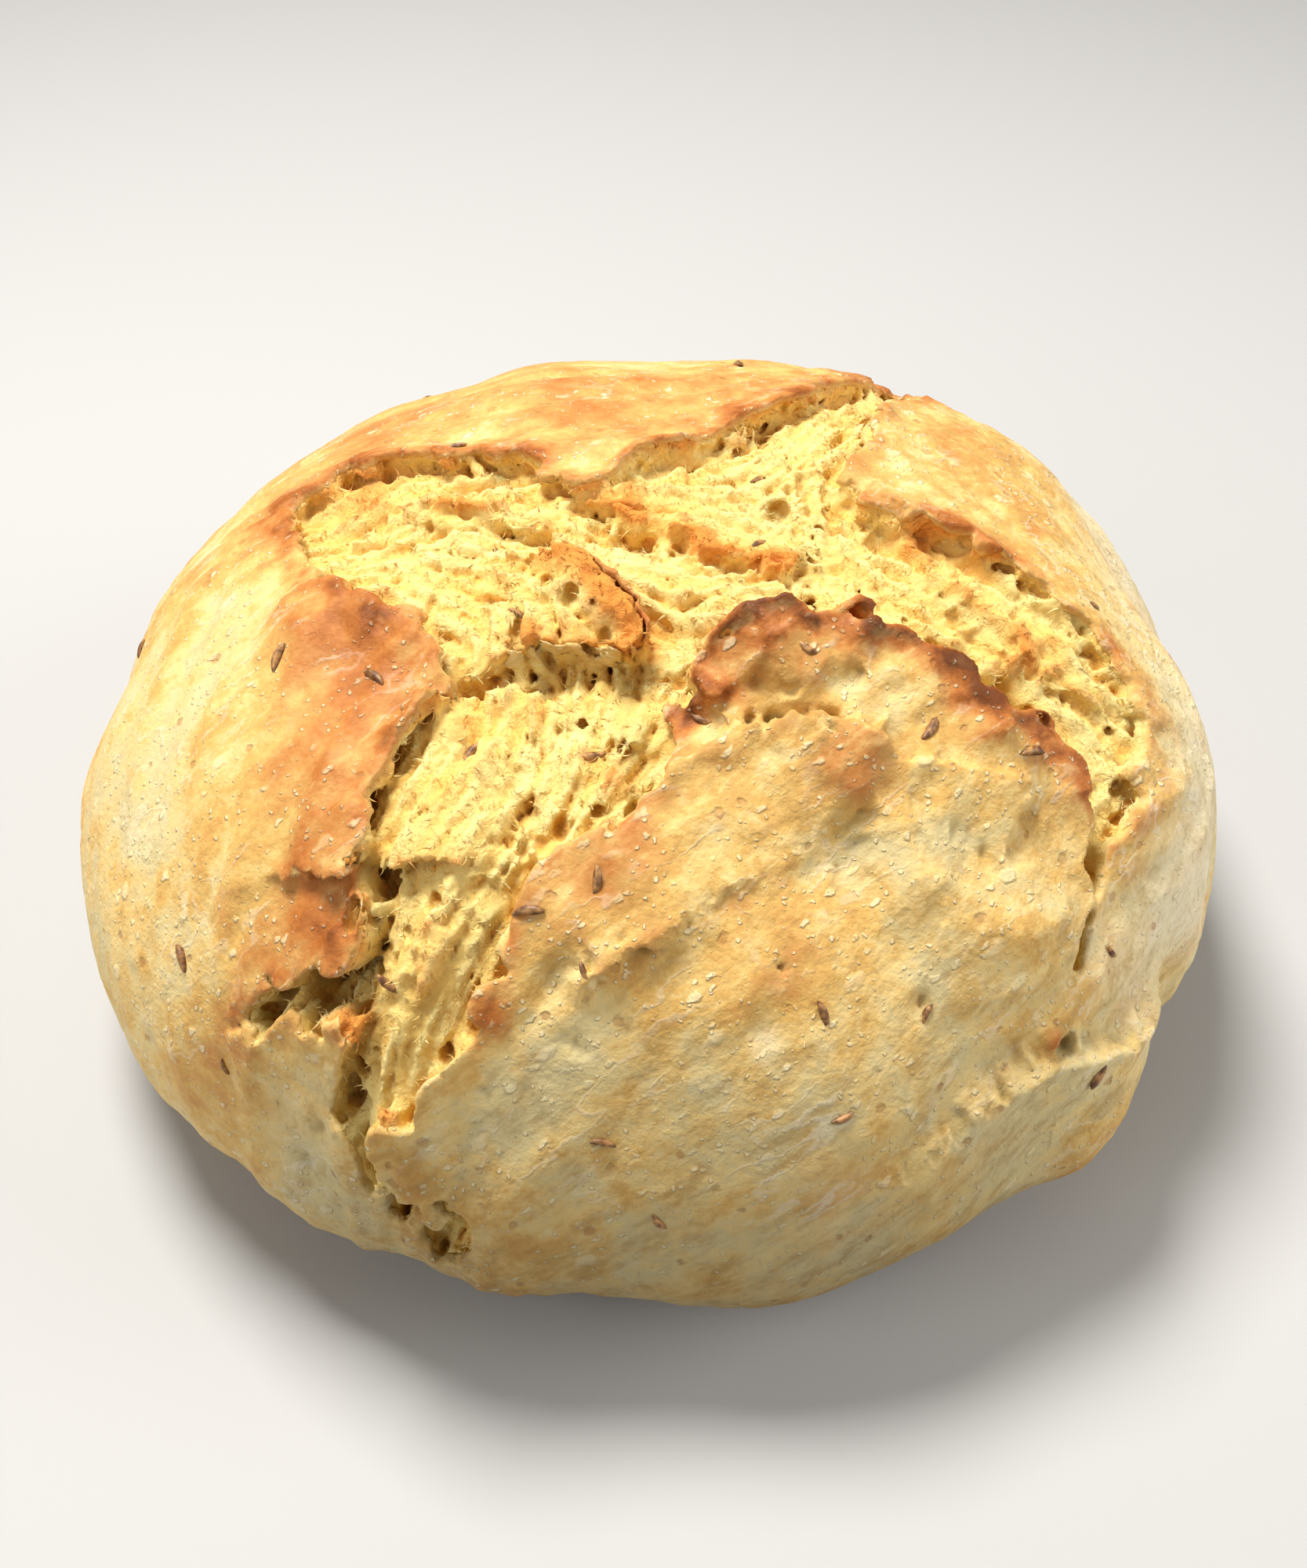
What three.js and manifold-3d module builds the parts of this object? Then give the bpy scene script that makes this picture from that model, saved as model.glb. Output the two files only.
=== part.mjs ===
// A round, hand-shaped loaf of white rye bread whose top tore open in the oven.
// Millimetres, +Z up. The loaf stands on z = 0 with the middle of its foot at the origin,
// and the tall smooth side of the crust faces -Y.
import * as THREE from "three";
import { mergeVertices } from "three/addons/utils/BufferGeometryUtils.js";
import Module from "manifold-3d";

const wasm = await Module();
wasm.setup();

// The plain loaf: a flattened ball, widest low down, with a flat foot.
const HALF_WIDTH = 95;
const WIDEST_AT = 26;
const RISE_ABOVE_WIDEST = 64;
const DROP_BELOW_WIDEST = 34;
const SHOULDER_POWER = 2.35;
const UNDERSIDE_POWER = 2.2;
const PLAN_WOBBLE = 0.012;

// Places on the loaf are measured over the crust from the crown: millimetres right and millimetres back.
const CRUST_PER_RADIAN = 80;

// The mesh: an icosphere whose points crowd towards the middle of the torn top and towards its edges.
const MESH_DETAIL = 21;
const TORN_MIDDLE = [-4, -34];
const TORN_CROWDING = 1.3;
const EDGE_CROWDING = 6;

// Where crust ends and torn crumb begins. The edge is followed once round as named stretches.
// A point is [right, back, height the crust curls up to, depth of the crumb at its foot].
// roll is how far back the curl begins, and lean how far the edge hangs out over the crumb.
const TEAR = [
  {
    name: "left lip",
    roll: 10,
    lean: 3.2,
    points: [
      [-67, 11, 1, 3],
      [-64, -5, 1, 3.5],
      [-57, -19, 2, 4],
      [-46, -29, 3, 3],
      [-37, -36, 3.5, 2.5],
      [-34, -43, 3.5, 2.5],
      [-35, -50, 3, 2.5],
      [-40, -59, 2.5, 2.5],
      [-41, -69, 2.5, 3],
      [-42, -74, 3.5, 6],
      [-41, -78, 4, 9],
      [-47, -78, 4, 11],
      [-56, -79, 3, 9],
      [-63, -81, 1, 6],
      [-72, -84, 0, 2],
    ],
  },
  {
    name: "left corner plate",
    roll: 7,
    lean: 1.2,
    points: [
      [-61, -84.5, 2, 5],
      [-50, -85.5, 3, 6],
      [-41, -87, 4, 4],
      [-47, -91, 2, 4],
      [-48, -98, 1.5, 4],
      [-47, -107, 1, 4],
      [-43, -114, 0.5, 3.5],
      [-38, -118, 0.5, 4],
      [-36, -124, 0, 2],
    ],
  },
  {
    name: "front tongue",
    roll: 5,
    lean: 1.2,
    points: [
      [-31, -117, 0.5, 4],
      [-31, -110, 1.5, 5],
      [-36, -113, 2, 4],
      [-43, -107, 3, 4],
      [-40, -101, 4, 4],
      [-36, -99, 4, 4],
      [-30, -94, 4, 3.5],
      [-26, -94, 3, 3.5],
    ],
  },
  {
    name: "front lip",
    roll: 9,
    lean: 2.0,
    points: [
      [-25, -91, 3, 4],
      [-24, -88, 3, 3.5],
      [-20, -82, 2.5, 3],
      [-15, -75, 2.5, 3],
      [-10, -72, 2.5, 4],
      [-3, -69, 3, 5.5],
      [3, -63, 4, 5.5],
      [5, -60, 3, 5],
    ],
  },
  {
    name: "crown flap",
    roll: 15,
    lean: 2.6,
    points: [
      [3, -56, 0, 2],
      [5, -53, 1, 4],
      [9, -50, 4, 6],
      [10, -43, 9, 7],
      [13, -40, 10, 7],
      [18, -39, 11, 7],
      [23, -41, 9, 6],
      [27, -41, 8, 6],
      [29, -38, 11, 6],
      [33, -40, 9, 6],
      [40, -41, 8, 7],
      [45, -42, 8, 7],
      [47, -47, 6, 6],
      [58, -45, 5, 6],
      [63, -50, 3, 6],
    ],
  },
  {
    name: "right crack",
    roll: 5,
    lean: 0.5,
    points: [
      [68, -59, 2, 4],
      [67, -67, 1, 4],
      [66, -73, 0.5, 4],
      [67, -79, 0, 1],
      [68.5, -73, 0.5, 4],
      [70, -67, 1, 4],
      [72, -59, 1, 4],
    ],
  },
  {
    name: "right lip",
    roll: 9,
    lean: 1.6,
    points: [
      [75, -50, 1, 4],
      [79, -38, 1, 4],
      [78, -28, 2, 4],
      [70, -20, 1.5, 3],
      [58, -13, 2, 3],
      [50, -8, 2.5, 3.5],
      [41, -6, 2.5, 3.5],
      [36, 0, 2, 3.5],
      [37, 13, 2.5, 4],
      [44, 33, 2.5, 4],
      [53, 52, 2, 4],
      [50, 72, 0, 2],
      [37, 52, 2, 4],
    ],
  },
  {
    name: "back lip",
    roll: 12,
    lean: 1.8,
    points: [
      [24, 30, 2.5, 4],
      [5, 11, 2.5, 4],
      [-3, 6, 2.5, 4],
      [-8, 1, 1.5, 3.5],
      [-14, -2, 1.5, 3.5],
      [-19, 2, 1.5, 3.5],
      [-24, 10, 2.5, 3.5],
      [-43, 15, 2.5, 3],
      [-55, 15, 2.5, 3],
    ],
  },
];
const CRUMB_DEPTH = 3.5;
const CRUMB_RISE = 6;
const EDGE_WIDTH = 0.25;

// Folds: along each line the left side, seen in the direction of travel, stands up by the last number
// and the right side dips by half of it.
const FOLDS = [
  {
    name: "crease below the crown flap",
    reach: 5,
    points: [
      [64, -52, 0],
      [48, -56, 0.8],
      [37, -58, 2],
      [32, -56, 3.6],
      [26, -55, 4],
      [19, -55, 3.8],
      [12, -58, 3.2],
      [5.5, -61, 2.6],
    ],
  },
  {
    name: "ridge at the back",
    reach: 7,
    points: [
      [-15, -4, 1.5],
      [-6, -7, 4],
      [2, -13, 4.5],
      [9, -18, 4.5],
      [18, -19, 4.5],
      [26, -19, 4],
      [31, -13, 0],
    ],
  },
  {
    name: "ledge at the back left",
    reach: 7,
    points: [
      [-51, 2, 1],
      [-38, -5, 3],
      [-30, -7, 3.5],
      [-20, -12, 3.5],
      [-16, -17, 0],
    ],
  },
  {
    name: "edge of the middle mound",
    reach: 10,
    points: [
      [-34, -46, 0.5],
      [-26, -44, 3],
      [-18, -41, 4.5],
      [-10, -42, 5.5],
      [-4, -44, 6.5],
      [-1, -40, 7],
      [-4, -34, 7],
      [-9, -29, 7],
      [-13, -24, 6],
      [-18, -20, 4],
      [-24, -18, 2],
      [-30, -18, 0.5],
    ],
  },
  {
    name: "edge of the middle step",
    reach: 6,
    points: [
      [-28, -63, 1],
      [-24, -59, 3],
      [-19, -55, 4],
      [-19, -50, 4.5],
      [-25, -48, 4],
      [-34, -50, 4],
      [-40, -53, 1],
    ],
  },
  {
    name: "shelf across the left valley",
    reach: 6,
    points: [
      [-46, -69, 3.4],
      [-37, -70, 4],
      [-29, -71, 4],
      [-25, -73, 2.6],
      [-20, -77, 0],
    ],
  },
  {
    name: "knob beside the front lip",
    reach: 5,
    points: [
      [-5, -69, 1],
      [-4, -66, 3.5],
      [-5, -62, 3.5],
      [-9, -59, 2],
      [-15, -58, 0],
    ],
  },
  {
    name: "long strand of the right crumb",
    reach: 5,
    points: [
      [38, 1, 0.5],
      [45, -11, 2.5],
      [53, -22, 3],
      [62, -31, 3],
      [73, -34, 2],
      [78, -38, 0],
    ],
  },
  {
    name: "near strand of the right crumb",
    reach: 5,
    points: [
      [41, -24, 0.5],
      [48, -29, 2.4],
      [56, -34, 2.6],
      [64, -37, 2],
      [69, -42, 0],
    ],
  },
  {
    name: "far strand of the right crumb",
    reach: 4,
    points: [
      [49, -9, 0.5],
      [57, -15, 2.2],
      [66, -21, 2.4],
      [75, -27, 0],
    ],
  },
  {
    name: "overlap on the front crust",
    reach: 8,
    points: [
      [-13, -89, 0],
      [-9, -87, 3],
      [-2, -84, 2.8],
      [7, -79, 1.8],
      [19, -74, 0.8],
      [34, -71, 0],
    ],
  },
  {
    name: "groove above the foot at the right",
    reach: 8,
    points: [
      [96, -66, 1],
      [88, -75, 2],
      [80, -81, 3],
      [66, -88, 2.6],
      [53, -96, 1.8],
      [40, -106, 1],
      [31, -112, 0],
    ],
  },
];

// Soft swellings and dents: [right, back, height, half-width].
const SWELLINGS = [
  [-16, -33, 2.2, 10],
  [-54, -30, 2.4, 10],
  [-45, -53, 1.6, 7],
  [-78, -40, -1.8, 16],
  [-29, -64, 2.6, 8],
  [-32, -80, 4.2, 8],
  [-36, -91, 3.2, 6.5],
  [-22, -30, 1.6, 9],
  [-42, -20, 1.6, 9],
  [-33, -2, 1.4, 9],
  [-10, -14, -1.6, 6],
  [12, -27, 1.2, 9],
  [6, 2, 2.2, 11],
  [22, 6, 1.8, 9],
  [36, 30, 1.4, 8],
  [22, -64, 1.8, 9],
  [28, -72, -3, 6],
  [47, -67, -1.6, 6],
  [46, -76, 1.2, 12],
  [-62, -100, -1.4, 9],
  [16, -95, -1, 6],
  [60, -72, 1, 10],
  [86, -40, 1.4, 12],
  [62, 30, 1.6, 14],
  [-20, 48, 1.4, 20],
  [30, 92, -1.6, 16],
  [-50, 88, 1.4, 16],
  [-97, 0, -2.2, 22],
  [-30, 63, -2.6, 28],
  [66, 44, 1.4, 16],
  [97, 10, -5, 22],
  [110, -10, -2, 16],
  [112, -40, -2.6, 14],
  [106, -64, -6, 10],
  [88, -98, 4, 15],
  [24, -131, 6, 26],
  [55, -112, 1.6, 16],
  [-30, -128, 2.5, 16],
  [-92, 30, -2.8, 18],
  [-55, 74, -2, 16],
  [-66, -116, 2.4, 18],
  [-100, -83, 1.2, 12],
];

// Deep pockets left by big bubbles, mostly tucked under a lip: [right, back, depth, half-width].
const POCKETS = [
  [-46, -79, 5, 5],
  [-53, -81, 4, 4],
  [-63, -82, 3, 3],
  [-37, -50, 3, 2.4],
  [-42, -58, 3, 2.4],
  [-43, -66, 3, 2.2],
  [-43.5, -71, 3, 2.2],
  [-20, -46, 4, 2.5],
  [-14, -43, 2.5, 4],
  [-31, -48, 3, 3],
  [0, -65, 4, 3.5],
  [-49, -98, 4, 3],
  [-51, -93, 3, 2.5],
  [-48, -103, 3.5, 2.5],
  [-33, -116, 3, 3],
  [50, 2, 3, 4],
  [62, -6, 2.5, 4],
  [62, -38, 3, 4],
  [-28, -8, 2.5, 4],
  [-2, -14, 2.5, 5],
];

// Gentle unevenness of the whole skin: [height, waves per radian right, back and up, start].
const UNEVENNESS = [
  [0.55, 7.1, 3.3, 2.4, 0.4],
  [0.5, 4.6, 9.2, 3.1, 1.9],
  [0.42, 12.4, 6.1, 5.2, 3.3],
  [0.34, 9.3, 15.7, 8.4, 5.1],
];
const CRUMB_ROUGHNESS = 2.2;

// The edge frays: a point is looked up a little to one side. [shift, waves per mm right and back, start].
const FRAYING = [
  [0.5, 0.21, 0.13, 0.6],
  [0.6, 0.37, -0.33, 2.2],
  [0.7, -0.52, 0.61, 4.1],
];

// Caraway seeds are fused to the loaf: some where they show best, the others scattered by a rule.
const SEED = { length: 4.7, width: 1.7, thickness: 1.5, bend: 0.35, sides: 5, rings: 4, sunk: 0.25 };
const SHOWN_SEEDS = [
  [-17, -79],
  [-37, -84],
  [-74, -71],
  [-28, -58],
  [-10, -60],
  [-22, -36],
  [-29, -15],
  [40, -52],
  [55, -51],
  [8, -55],
  [24, -90],
  [41, -88],
  [28, -101],
  [-8, -107],
  [1, -117],
  [-8, -76],
  [20, -14],
  [30, -25],
  [-43, -43],
  [74, -87],
];
const SCATTERED_SEEDS = 14;
const SCATTER_START = 0.37;
const GOLDEN_TURN = Math.PI * (3 - Math.sqrt(5));

const smooth = (t) => t * t * (3 - 2 * t);
const clamp = (t) => Math.min(1, Math.max(0, t));

// Direction from the heart of the loaf to a place given over the crust, and back again.
const heart = new THREE.Vector3(0, 0, WIDEST_AT);

function directionOf(right, back) {
  const polar = Math.hypot(right, back) / CRUST_PER_RADIAN;
  const turn = Math.atan2(back, right);
  return new THREE.Vector3(
    Math.sin(polar) * Math.cos(turn),
    Math.sin(polar) * Math.sin(turn),
    Math.cos(polar),
  );
}

function placeOf(direction) {
  const polar = Math.acos(clamp((direction.z + 1) / 2) * 2 - 1);
  const turn = Math.atan2(direction.y, direction.x);
  return [CRUST_PER_RADIAN * polar * Math.cos(turn), CRUST_PER_RADIAN * polar * Math.sin(turn)];
}

// Distance from the heart to the plain loaf's skin.
function plainRadius(direction) {
  const outward = Math.hypot(direction.x, direction.y);
  const turn = Math.atan2(direction.y, direction.x);
  const wobble = 1 + PLAN_WOBBLE * (Math.sin(2 * turn + 0.6) + 0.8 * Math.sin(3 * turn + 2.2));
  const above = direction.z >= 0;
  const height = above ? RISE_ABOVE_WIDEST : DROP_BELOW_WIDEST;
  const power = above ? SHOULDER_POWER : UNDERSIDE_POWER;
  return Math.pow(
    Math.pow(outward / (HALF_WIDTH * wobble), power) + Math.pow(Math.abs(direction.z) / height, power),
    -1 / power,
  );
}

// Nearest point of a chain of [x, y, ...values]: its distance, the way from it, and its own values.
function nearestOn(chain, closed, x, y) {
  let best = { distance: Infinity };
  const last = closed ? chain.length : chain.length - 1;
  for (let i = 0; i < last; i++) {
    const a = chain[i];
    const b = chain[(i + 1) % chain.length];
    const [dx, dy] = [b[0] - a[0], b[1] - a[1]];
    const t = clamp(((x - a[0]) * dx + (y - a[1]) * dy) / (dx * dx + dy * dy));
    const [awayX, awayY] = [x - a[0] - t * dx, y - a[1] - t * dy];
    const distance = Math.hypot(awayX, awayY);
    if (distance < best.distance) {
      const values = a.slice(2).map((value, k) => value + t * (b[k + 2] - value));
      best = { distance, values, onLeft: dx * awayY - dy * awayX > 0, awayX, awayY };
    }
  }
  return best;
}

function isInside(chain, x, y) {
  let inside = false;
  chain.forEach((a, i) => {
    const b = chain[(i + 1) % chain.length];
    if (a[1] > y !== b[1] > y && x < a[0] + ((y - a[1]) * (b[0] - a[0])) / (b[1] - a[1])) {
      inside = !inside;
    }
  });
  return inside;
}

const tearOutline = TEAR.flatMap(({ points, roll, lean }) => points.map((p) => [...p, roll, lean]));

function frayed(right, back) {
  let [x, y] = [right, back];
  for (const [shift, alongRight, alongBack, start] of FRAYING) {
    const phase = alongRight * right + alongBack * back + start;
    x += shift * Math.sin(phase);
    y += shift * Math.cos(1.3 * phase + start);
  }
  return [x, y];
}

function unevenness(direction) {
  return UNEVENNESS.reduce(
    (sum, [height, x, y, z, start]) =>
      sum + height * Math.sin(x * direction.x + y * direction.y + z * direction.z + start),
    0,
  );
}

function foldHeight(right, back) {
  let height = 0;
  for (const { points, reach } of FOLDS) {
    const { distance, values, onLeft } = nearestOn(points, false, right, back);
    const fade = values[0] * Math.exp(-distance / reach);
    height += onLeft ? fade : -0.5 * fade;
  }
  return height;
}

function bumpHeight(bumps, right, back) {
  return bumps.reduce((sum, [x, y, height, halfWidth]) => {
    const share = ((right - x) ** 2 + (back - y) ** 2) / halfWidth ** 2;
    return sum + height * Math.exp(-share);
  }, 0);
}

// The torn edge nearest to a place over the crust, and on which side of it the place is.
function edgeNear(right, back) {
  const [x, y] = frayed(right, back);
  const edge = nearestOn(tearOutline, true, x, y);
  edge.side = isInside(tearOutline, x, y) ? -1 : 1;
  edge.outward = [edge.awayX, edge.awayY].map((part) => (edge.side * part) / Math.max(edge.distance, 1e-6));
  return edge;
}

// A place moved towards the torn edge, so that more of the mesh's points lie along it.
function drawnToEdge(right, back) {
  const { distance, side, outward } = edgeNear(right, back);
  const move = (-side * distance * EDGE_CROWDING) / (distance + EDGE_CROWDING);
  return [right + outward[0] * move, back + outward[1] * move];
}

// Height of the skin over the plain loaf, and how far it is pushed sideways, at a place over the crust.
function reliefAt(right, back) {
  const direction = directionOf(right, back);
  const edge = edgeNear(right, back);
  const [curl, footDepth, roll, lean] = edge.values;
  const share = smooth(clamp(0.5 + (edge.side * edge.distance) / (2 * EDGE_WIDTH)));

  const uneven = unevenness(direction);
  const crust = curl * Math.exp(-edge.distance / roll) + uneven;
  const middle = 1 - Math.exp(-edge.distance / CRUMB_RISE);
  const crumb =
    -footDepth +
    (footDepth - CRUMB_DEPTH) * middle +
    CRUMB_ROUGHNESS * uneven * middle -
    bumpHeight(POCKETS, right, back);
  const height =
    crumb + (crust - crumb) * share + foldHeight(right, back) + bumpHeight(SWELLINGS, right, back);

  // The lip hangs out over the crumb, and its foot is cut under.
  const sideways = -edge.side * lean * (edge.side > 0 ? 0.6 : 0.8) * Math.exp(-edge.distance / 3);
  return { height, shift: edge.outward.map((part) => part * sideways) };
}

// The skin's point for a direction from the heart. Nothing goes below the table.
function skinPoint(direction) {
  const [right, back] = drawnToEdge(...placeOf(direction));
  const { height, shift } = reliefAt(right, back);
  const moved = directionOf(right + shift[0], back + shift[1]);
  const point = moved.clone().multiplyScalar(plainRadius(moved) + height).add(heart);
  point.z = Math.max(point.z, 0);
  return point;
}

// A closed three.js geometry as a solid that can be joined.
function solidOf(geometry) {
  const bare = geometry.clone();
  bare.deleteAttribute("normal");
  bare.deleteAttribute("uv");
  const merged = mergeVertices(bare, 1e-4);
  return new wasm.Manifold(
    new wasm.Mesh({
      numProp: 3,
      vertProperties: merged.attributes.position.array,
      triVerts: new Uint32Array(merged.index.array),
    }),
  );
}

function geometryOf(solid) {
  const mesh = solid.getMesh();
  return new THREE.BufferGeometry()
    .setAttribute("position", new THREE.BufferAttribute(mesh.vertProperties, 3))
    .setIndex(new THREE.BufferAttribute(mesh.triVerts, 1));
}

function loafGeometry() {
  const geometry = new THREE.IcosahedronGeometry(1, MESH_DETAIL);
  const positions = geometry.attributes.position;
  const middle = directionOf(...TORN_MIDDLE);
  const direction = new THREE.Vector3();
  const axis = new THREE.Vector3();
  for (let i = 0; i < positions.count; i++) {
    direction.fromBufferAttribute(positions, i).normalize();
    const angle = middle.angleTo(direction);
    axis.crossVectors(middle, direction);
    if (axis.length() > 1e-6) {
      const crowded = Math.PI * Math.pow(angle / Math.PI, TORN_CROWDING);
      direction.copy(middle).applyAxisAngle(axis.normalize(), crowded);
    }
    const point = skinPoint(direction);
    positions.setXYZ(i, point.x, point.y, point.z);
  }
  geometry.computeVertexNormals();
  return geometry;
}

// One caraway seed lying along X, a little crescent.
function seedGeometry() {
  const geometry = new THREE.SphereGeometry(1, SEED.sides, SEED.rings);
  geometry.rotateZ(Math.PI / 2);
  const positions = geometry.attributes.position;
  for (let i = 0; i < positions.count; i++) {
    const along = positions.getX(i);
    positions.setXYZ(
      i,
      (along * SEED.length) / 2,
      (positions.getY(i) * SEED.width) / 2 + SEED.bend * (1 - along * along),
      (positions.getZ(i) * SEED.thickness) / 2,
    );
  }
  return geometry;
}

function seedPlaces() {
  const scattered = Array.from({ length: SCATTERED_SEEDS }, (_, i) => {
    const reach = 118 * Math.sqrt((i + 0.5) / SCATTERED_SEEDS);
    const turn = i * GOLDEN_TURN + SCATTER_START;
    return [reach * Math.cos(turn), reach * Math.sin(turn)];
  });
  return [...SHOWN_SEEDS, ...scattered];
}

// A seed laid on the skin, turned by its number, and sunk into it a little.
function laidSeed(loafMesh, [right, back], number) {
  const direction = directionOf(right, back);
  const start = heart.clone().addScaledVector(direction, 2 * HALF_WIDTH);
  const ray = new THREE.Raycaster(start, direction.clone().negate());
  const hit = ray.intersectObject(loafMesh)[0];
  const lie = new THREE.Quaternion().setFromUnitVectors(new THREE.Vector3(0, 0, 1), hit.face.normal);
  const spin = new THREE.Quaternion().setFromAxisAngle(new THREE.Vector3(0, 0, 1), number * GOLDEN_TURN);
  const place = hit.point.clone().addScaledVector(hit.face.normal, (0.5 - SEED.sunk) * SEED.thickness * 0.6);
  const matrix = new THREE.Matrix4().compose(place, lie.multiply(spin), new THREE.Vector3(1, 1, 1));
  return solidOf(seedGeometry().applyMatrix4(matrix));
}

function seededLoaf() {
  const geometry = loafGeometry();
  const mesh = new THREE.Mesh(geometry);
  let solid = solidOf(geometry);
  seedPlaces().forEach((place, number) => {
    solid = solid.add(laidSeed(mesh, place, number));
  });
  return centred(geometryOf(solid));
}

// The middle of the loaf's width and depth comes to the middle of the frame.
function centred(geometry) {
  geometry.computeBoundingBox();
  const middle = geometry.boundingBox.getCenter(new THREE.Vector3());
  return geometry.translate(-middle.x, -middle.y, 0);
}

const crustMaterial = new THREE.MeshStandardMaterial({
  color: new THREE.Color("#dcb36c"),
  roughness: 0.7,
  metalness: 0,
});

const bread = new THREE.Group();
const loaf = new THREE.Mesh(seededLoaf(), crustMaterial);
loaf.name = "loaf";
bread.add(loaf);

export default bread;
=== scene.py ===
import bmesh
import bpy
import math
import numpy as np
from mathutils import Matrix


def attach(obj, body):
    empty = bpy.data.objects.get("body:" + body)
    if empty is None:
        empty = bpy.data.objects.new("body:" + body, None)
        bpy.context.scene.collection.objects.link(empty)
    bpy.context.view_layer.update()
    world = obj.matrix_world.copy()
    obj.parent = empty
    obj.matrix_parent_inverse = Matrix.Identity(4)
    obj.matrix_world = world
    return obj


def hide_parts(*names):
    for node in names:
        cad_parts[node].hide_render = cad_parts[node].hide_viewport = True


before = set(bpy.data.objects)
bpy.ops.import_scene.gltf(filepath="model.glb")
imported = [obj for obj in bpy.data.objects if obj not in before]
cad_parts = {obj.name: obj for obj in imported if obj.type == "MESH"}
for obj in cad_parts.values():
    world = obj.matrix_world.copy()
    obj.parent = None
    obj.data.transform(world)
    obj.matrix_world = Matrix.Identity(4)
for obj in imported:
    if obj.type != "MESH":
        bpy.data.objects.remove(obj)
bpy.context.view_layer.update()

import openvdb
from mathutils import Vector
from mathutils.bvhtree import BVHTree

# A round loaf of white rye bread whose top tore open in the oven. Lengths are in millimetres until
# a piece's mesh is made, and a place on the loaf is measured over the crust from the crown:
# millimetres right and millimetres back.
millimetre = 0.001
random = np.random.default_rng(20)

plainLoaf = {
    "halfWidth": 95.0,
    "widestAt": 26.0,
    "riseAbove": 64.0,
    "dropBelow": 34.0,
    "shoulderPower": 2.35,
    "undersidePower": 2.2,
    "wobble": 0.012,
    "crustPerRadian": 80.0,
}

# The torn edge, followed once round. A point is [right, back, curl of the crust, depth of the crumb].
# roll is how far back the curl begins, lean how far the edge hangs over, brown how dark it baked.
tear = [
    {"name": "left lip", "roll": 10, "lean": 3.2, "brown": 0.55, "points": [
        [-67, 11, 1, 3], [-64, -5, 1, 3.5], [-57, -19, 2, 4], [-46, -29, 3, 3], [-37, -36, 3.5, 2.5],
        [-34, -43, 3.5, 2.5], [-35, -50, 3, 2.5], [-40, -59, 2.5, 2.5], [-41, -69, 2.5, 3],
        [-42, -74, 3.5, 6], [-41, -78, 4, 9], [-47, -78, 4, 11], [-56, -79, 3, 9], [-63, -81, 1, 6],
        [-72, -84, 0, 2]]},
    {"name": "left corner plate", "roll": 7, "lean": 1.2, "brown": 0.3, "points": [
        [-61, -84.5, 2, 5], [-50, -85.5, 3, 6], [-41, -87, 4, 4], [-47, -91, 2, 4], [-48, -98, 1.5, 4],
        [-47, -107, 1, 4], [-43, -114, 0.5, 3.5], [-38, -118, 0.5, 4], [-36, -124, 0, 2]]},
    {"name": "front tongue", "roll": 5, "lean": 1.2, "brown": 0.1, "points": [
        [-31, -117, 0.5, 4], [-31, -110, 1.5, 5], [-36, -113, 2, 4], [-43, -107, 3, 4],
        [-40, -101, 4, 4], [-36, -99, 4, 4], [-30, -94, 4, 3.5], [-26, -94, 3, 3.5]]},
    {"name": "front lip", "roll": 9, "lean": 2.0, "brown": 0.3, "points": [
        [-25, -91, 3, 4], [-24, -88, 3, 3.5], [-20, -82, 2.5, 3], [-15, -75, 2.5, 3],
        [-10, -72, 2.5, 4], [-3, -69, 3, 5.5], [3, -63, 4, 5.5], [5, -60, 3, 5]]},
    {"name": "crown flap", "roll": 15, "lean": 2.6, "brown": 1.0, "points": [
        [3, -56, 0, 2], [5, -53, 1, 4], [9, -50, 4, 6], [10, -43, 9, 7], [13, -40, 10, 7],
        [18, -39, 11, 7], [23, -41, 9, 6], [27, -41, 8, 6], [29, -38, 11, 6], [33, -40, 9, 6],
        [40, -41, 8, 7], [45, -42, 8, 7], [47, -47, 6, 6], [58, -45, 5, 6], [63, -50, 3, 6]]},
    {"name": "right crack", "roll": 5, "lean": 0.5, "brown": 0.1, "points": [
        [68, -59, 2, 4], [67, -67, 1, 4], [66, -73, 0.5, 4], [67, -79, 0, 1], [68.5, -73, 0.5, 4],
        [70, -67, 1, 4], [72, -59, 1, 4]]},
    {"name": "right lip", "roll": 9, "lean": 1.6, "brown": 0.4, "points": [
        [75, -50, 1, 4], [79, -38, 1, 4], [78, -28, 2, 4], [70, -20, 1.5, 3], [58, -13, 2, 3],
        [50, -8, 2.5, 3.5], [41, -6, 2.5, 3.5], [36, 0, 2, 3.5], [37, 13, 2.5, 4], [44, 33, 2.5, 4],
        [53, 52, 2, 4], [50, 72, 0, 2], [37, 52, 2, 4]]},
    {"name": "back lip", "roll": 12, "lean": 1.8, "brown": 0.6, "points": [
        [24, 30, 2.5, 4], [5, 11, 2.5, 4], [-3, 6, 2.5, 4], [-8, 1, 1.5, 3.5], [-14, -2, 1.5, 3.5],
        [-19, 2, 1.5, 3.5], [-24, 10, 2.5, 3.5], [-43, 15, 2.5, 3], [-55, 15, 2.5, 3]]},
]
crumb = {"depth": 3.5, "rise": 6.0, "edgeWidth": 0.25, "roughness": 2.2}

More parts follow.
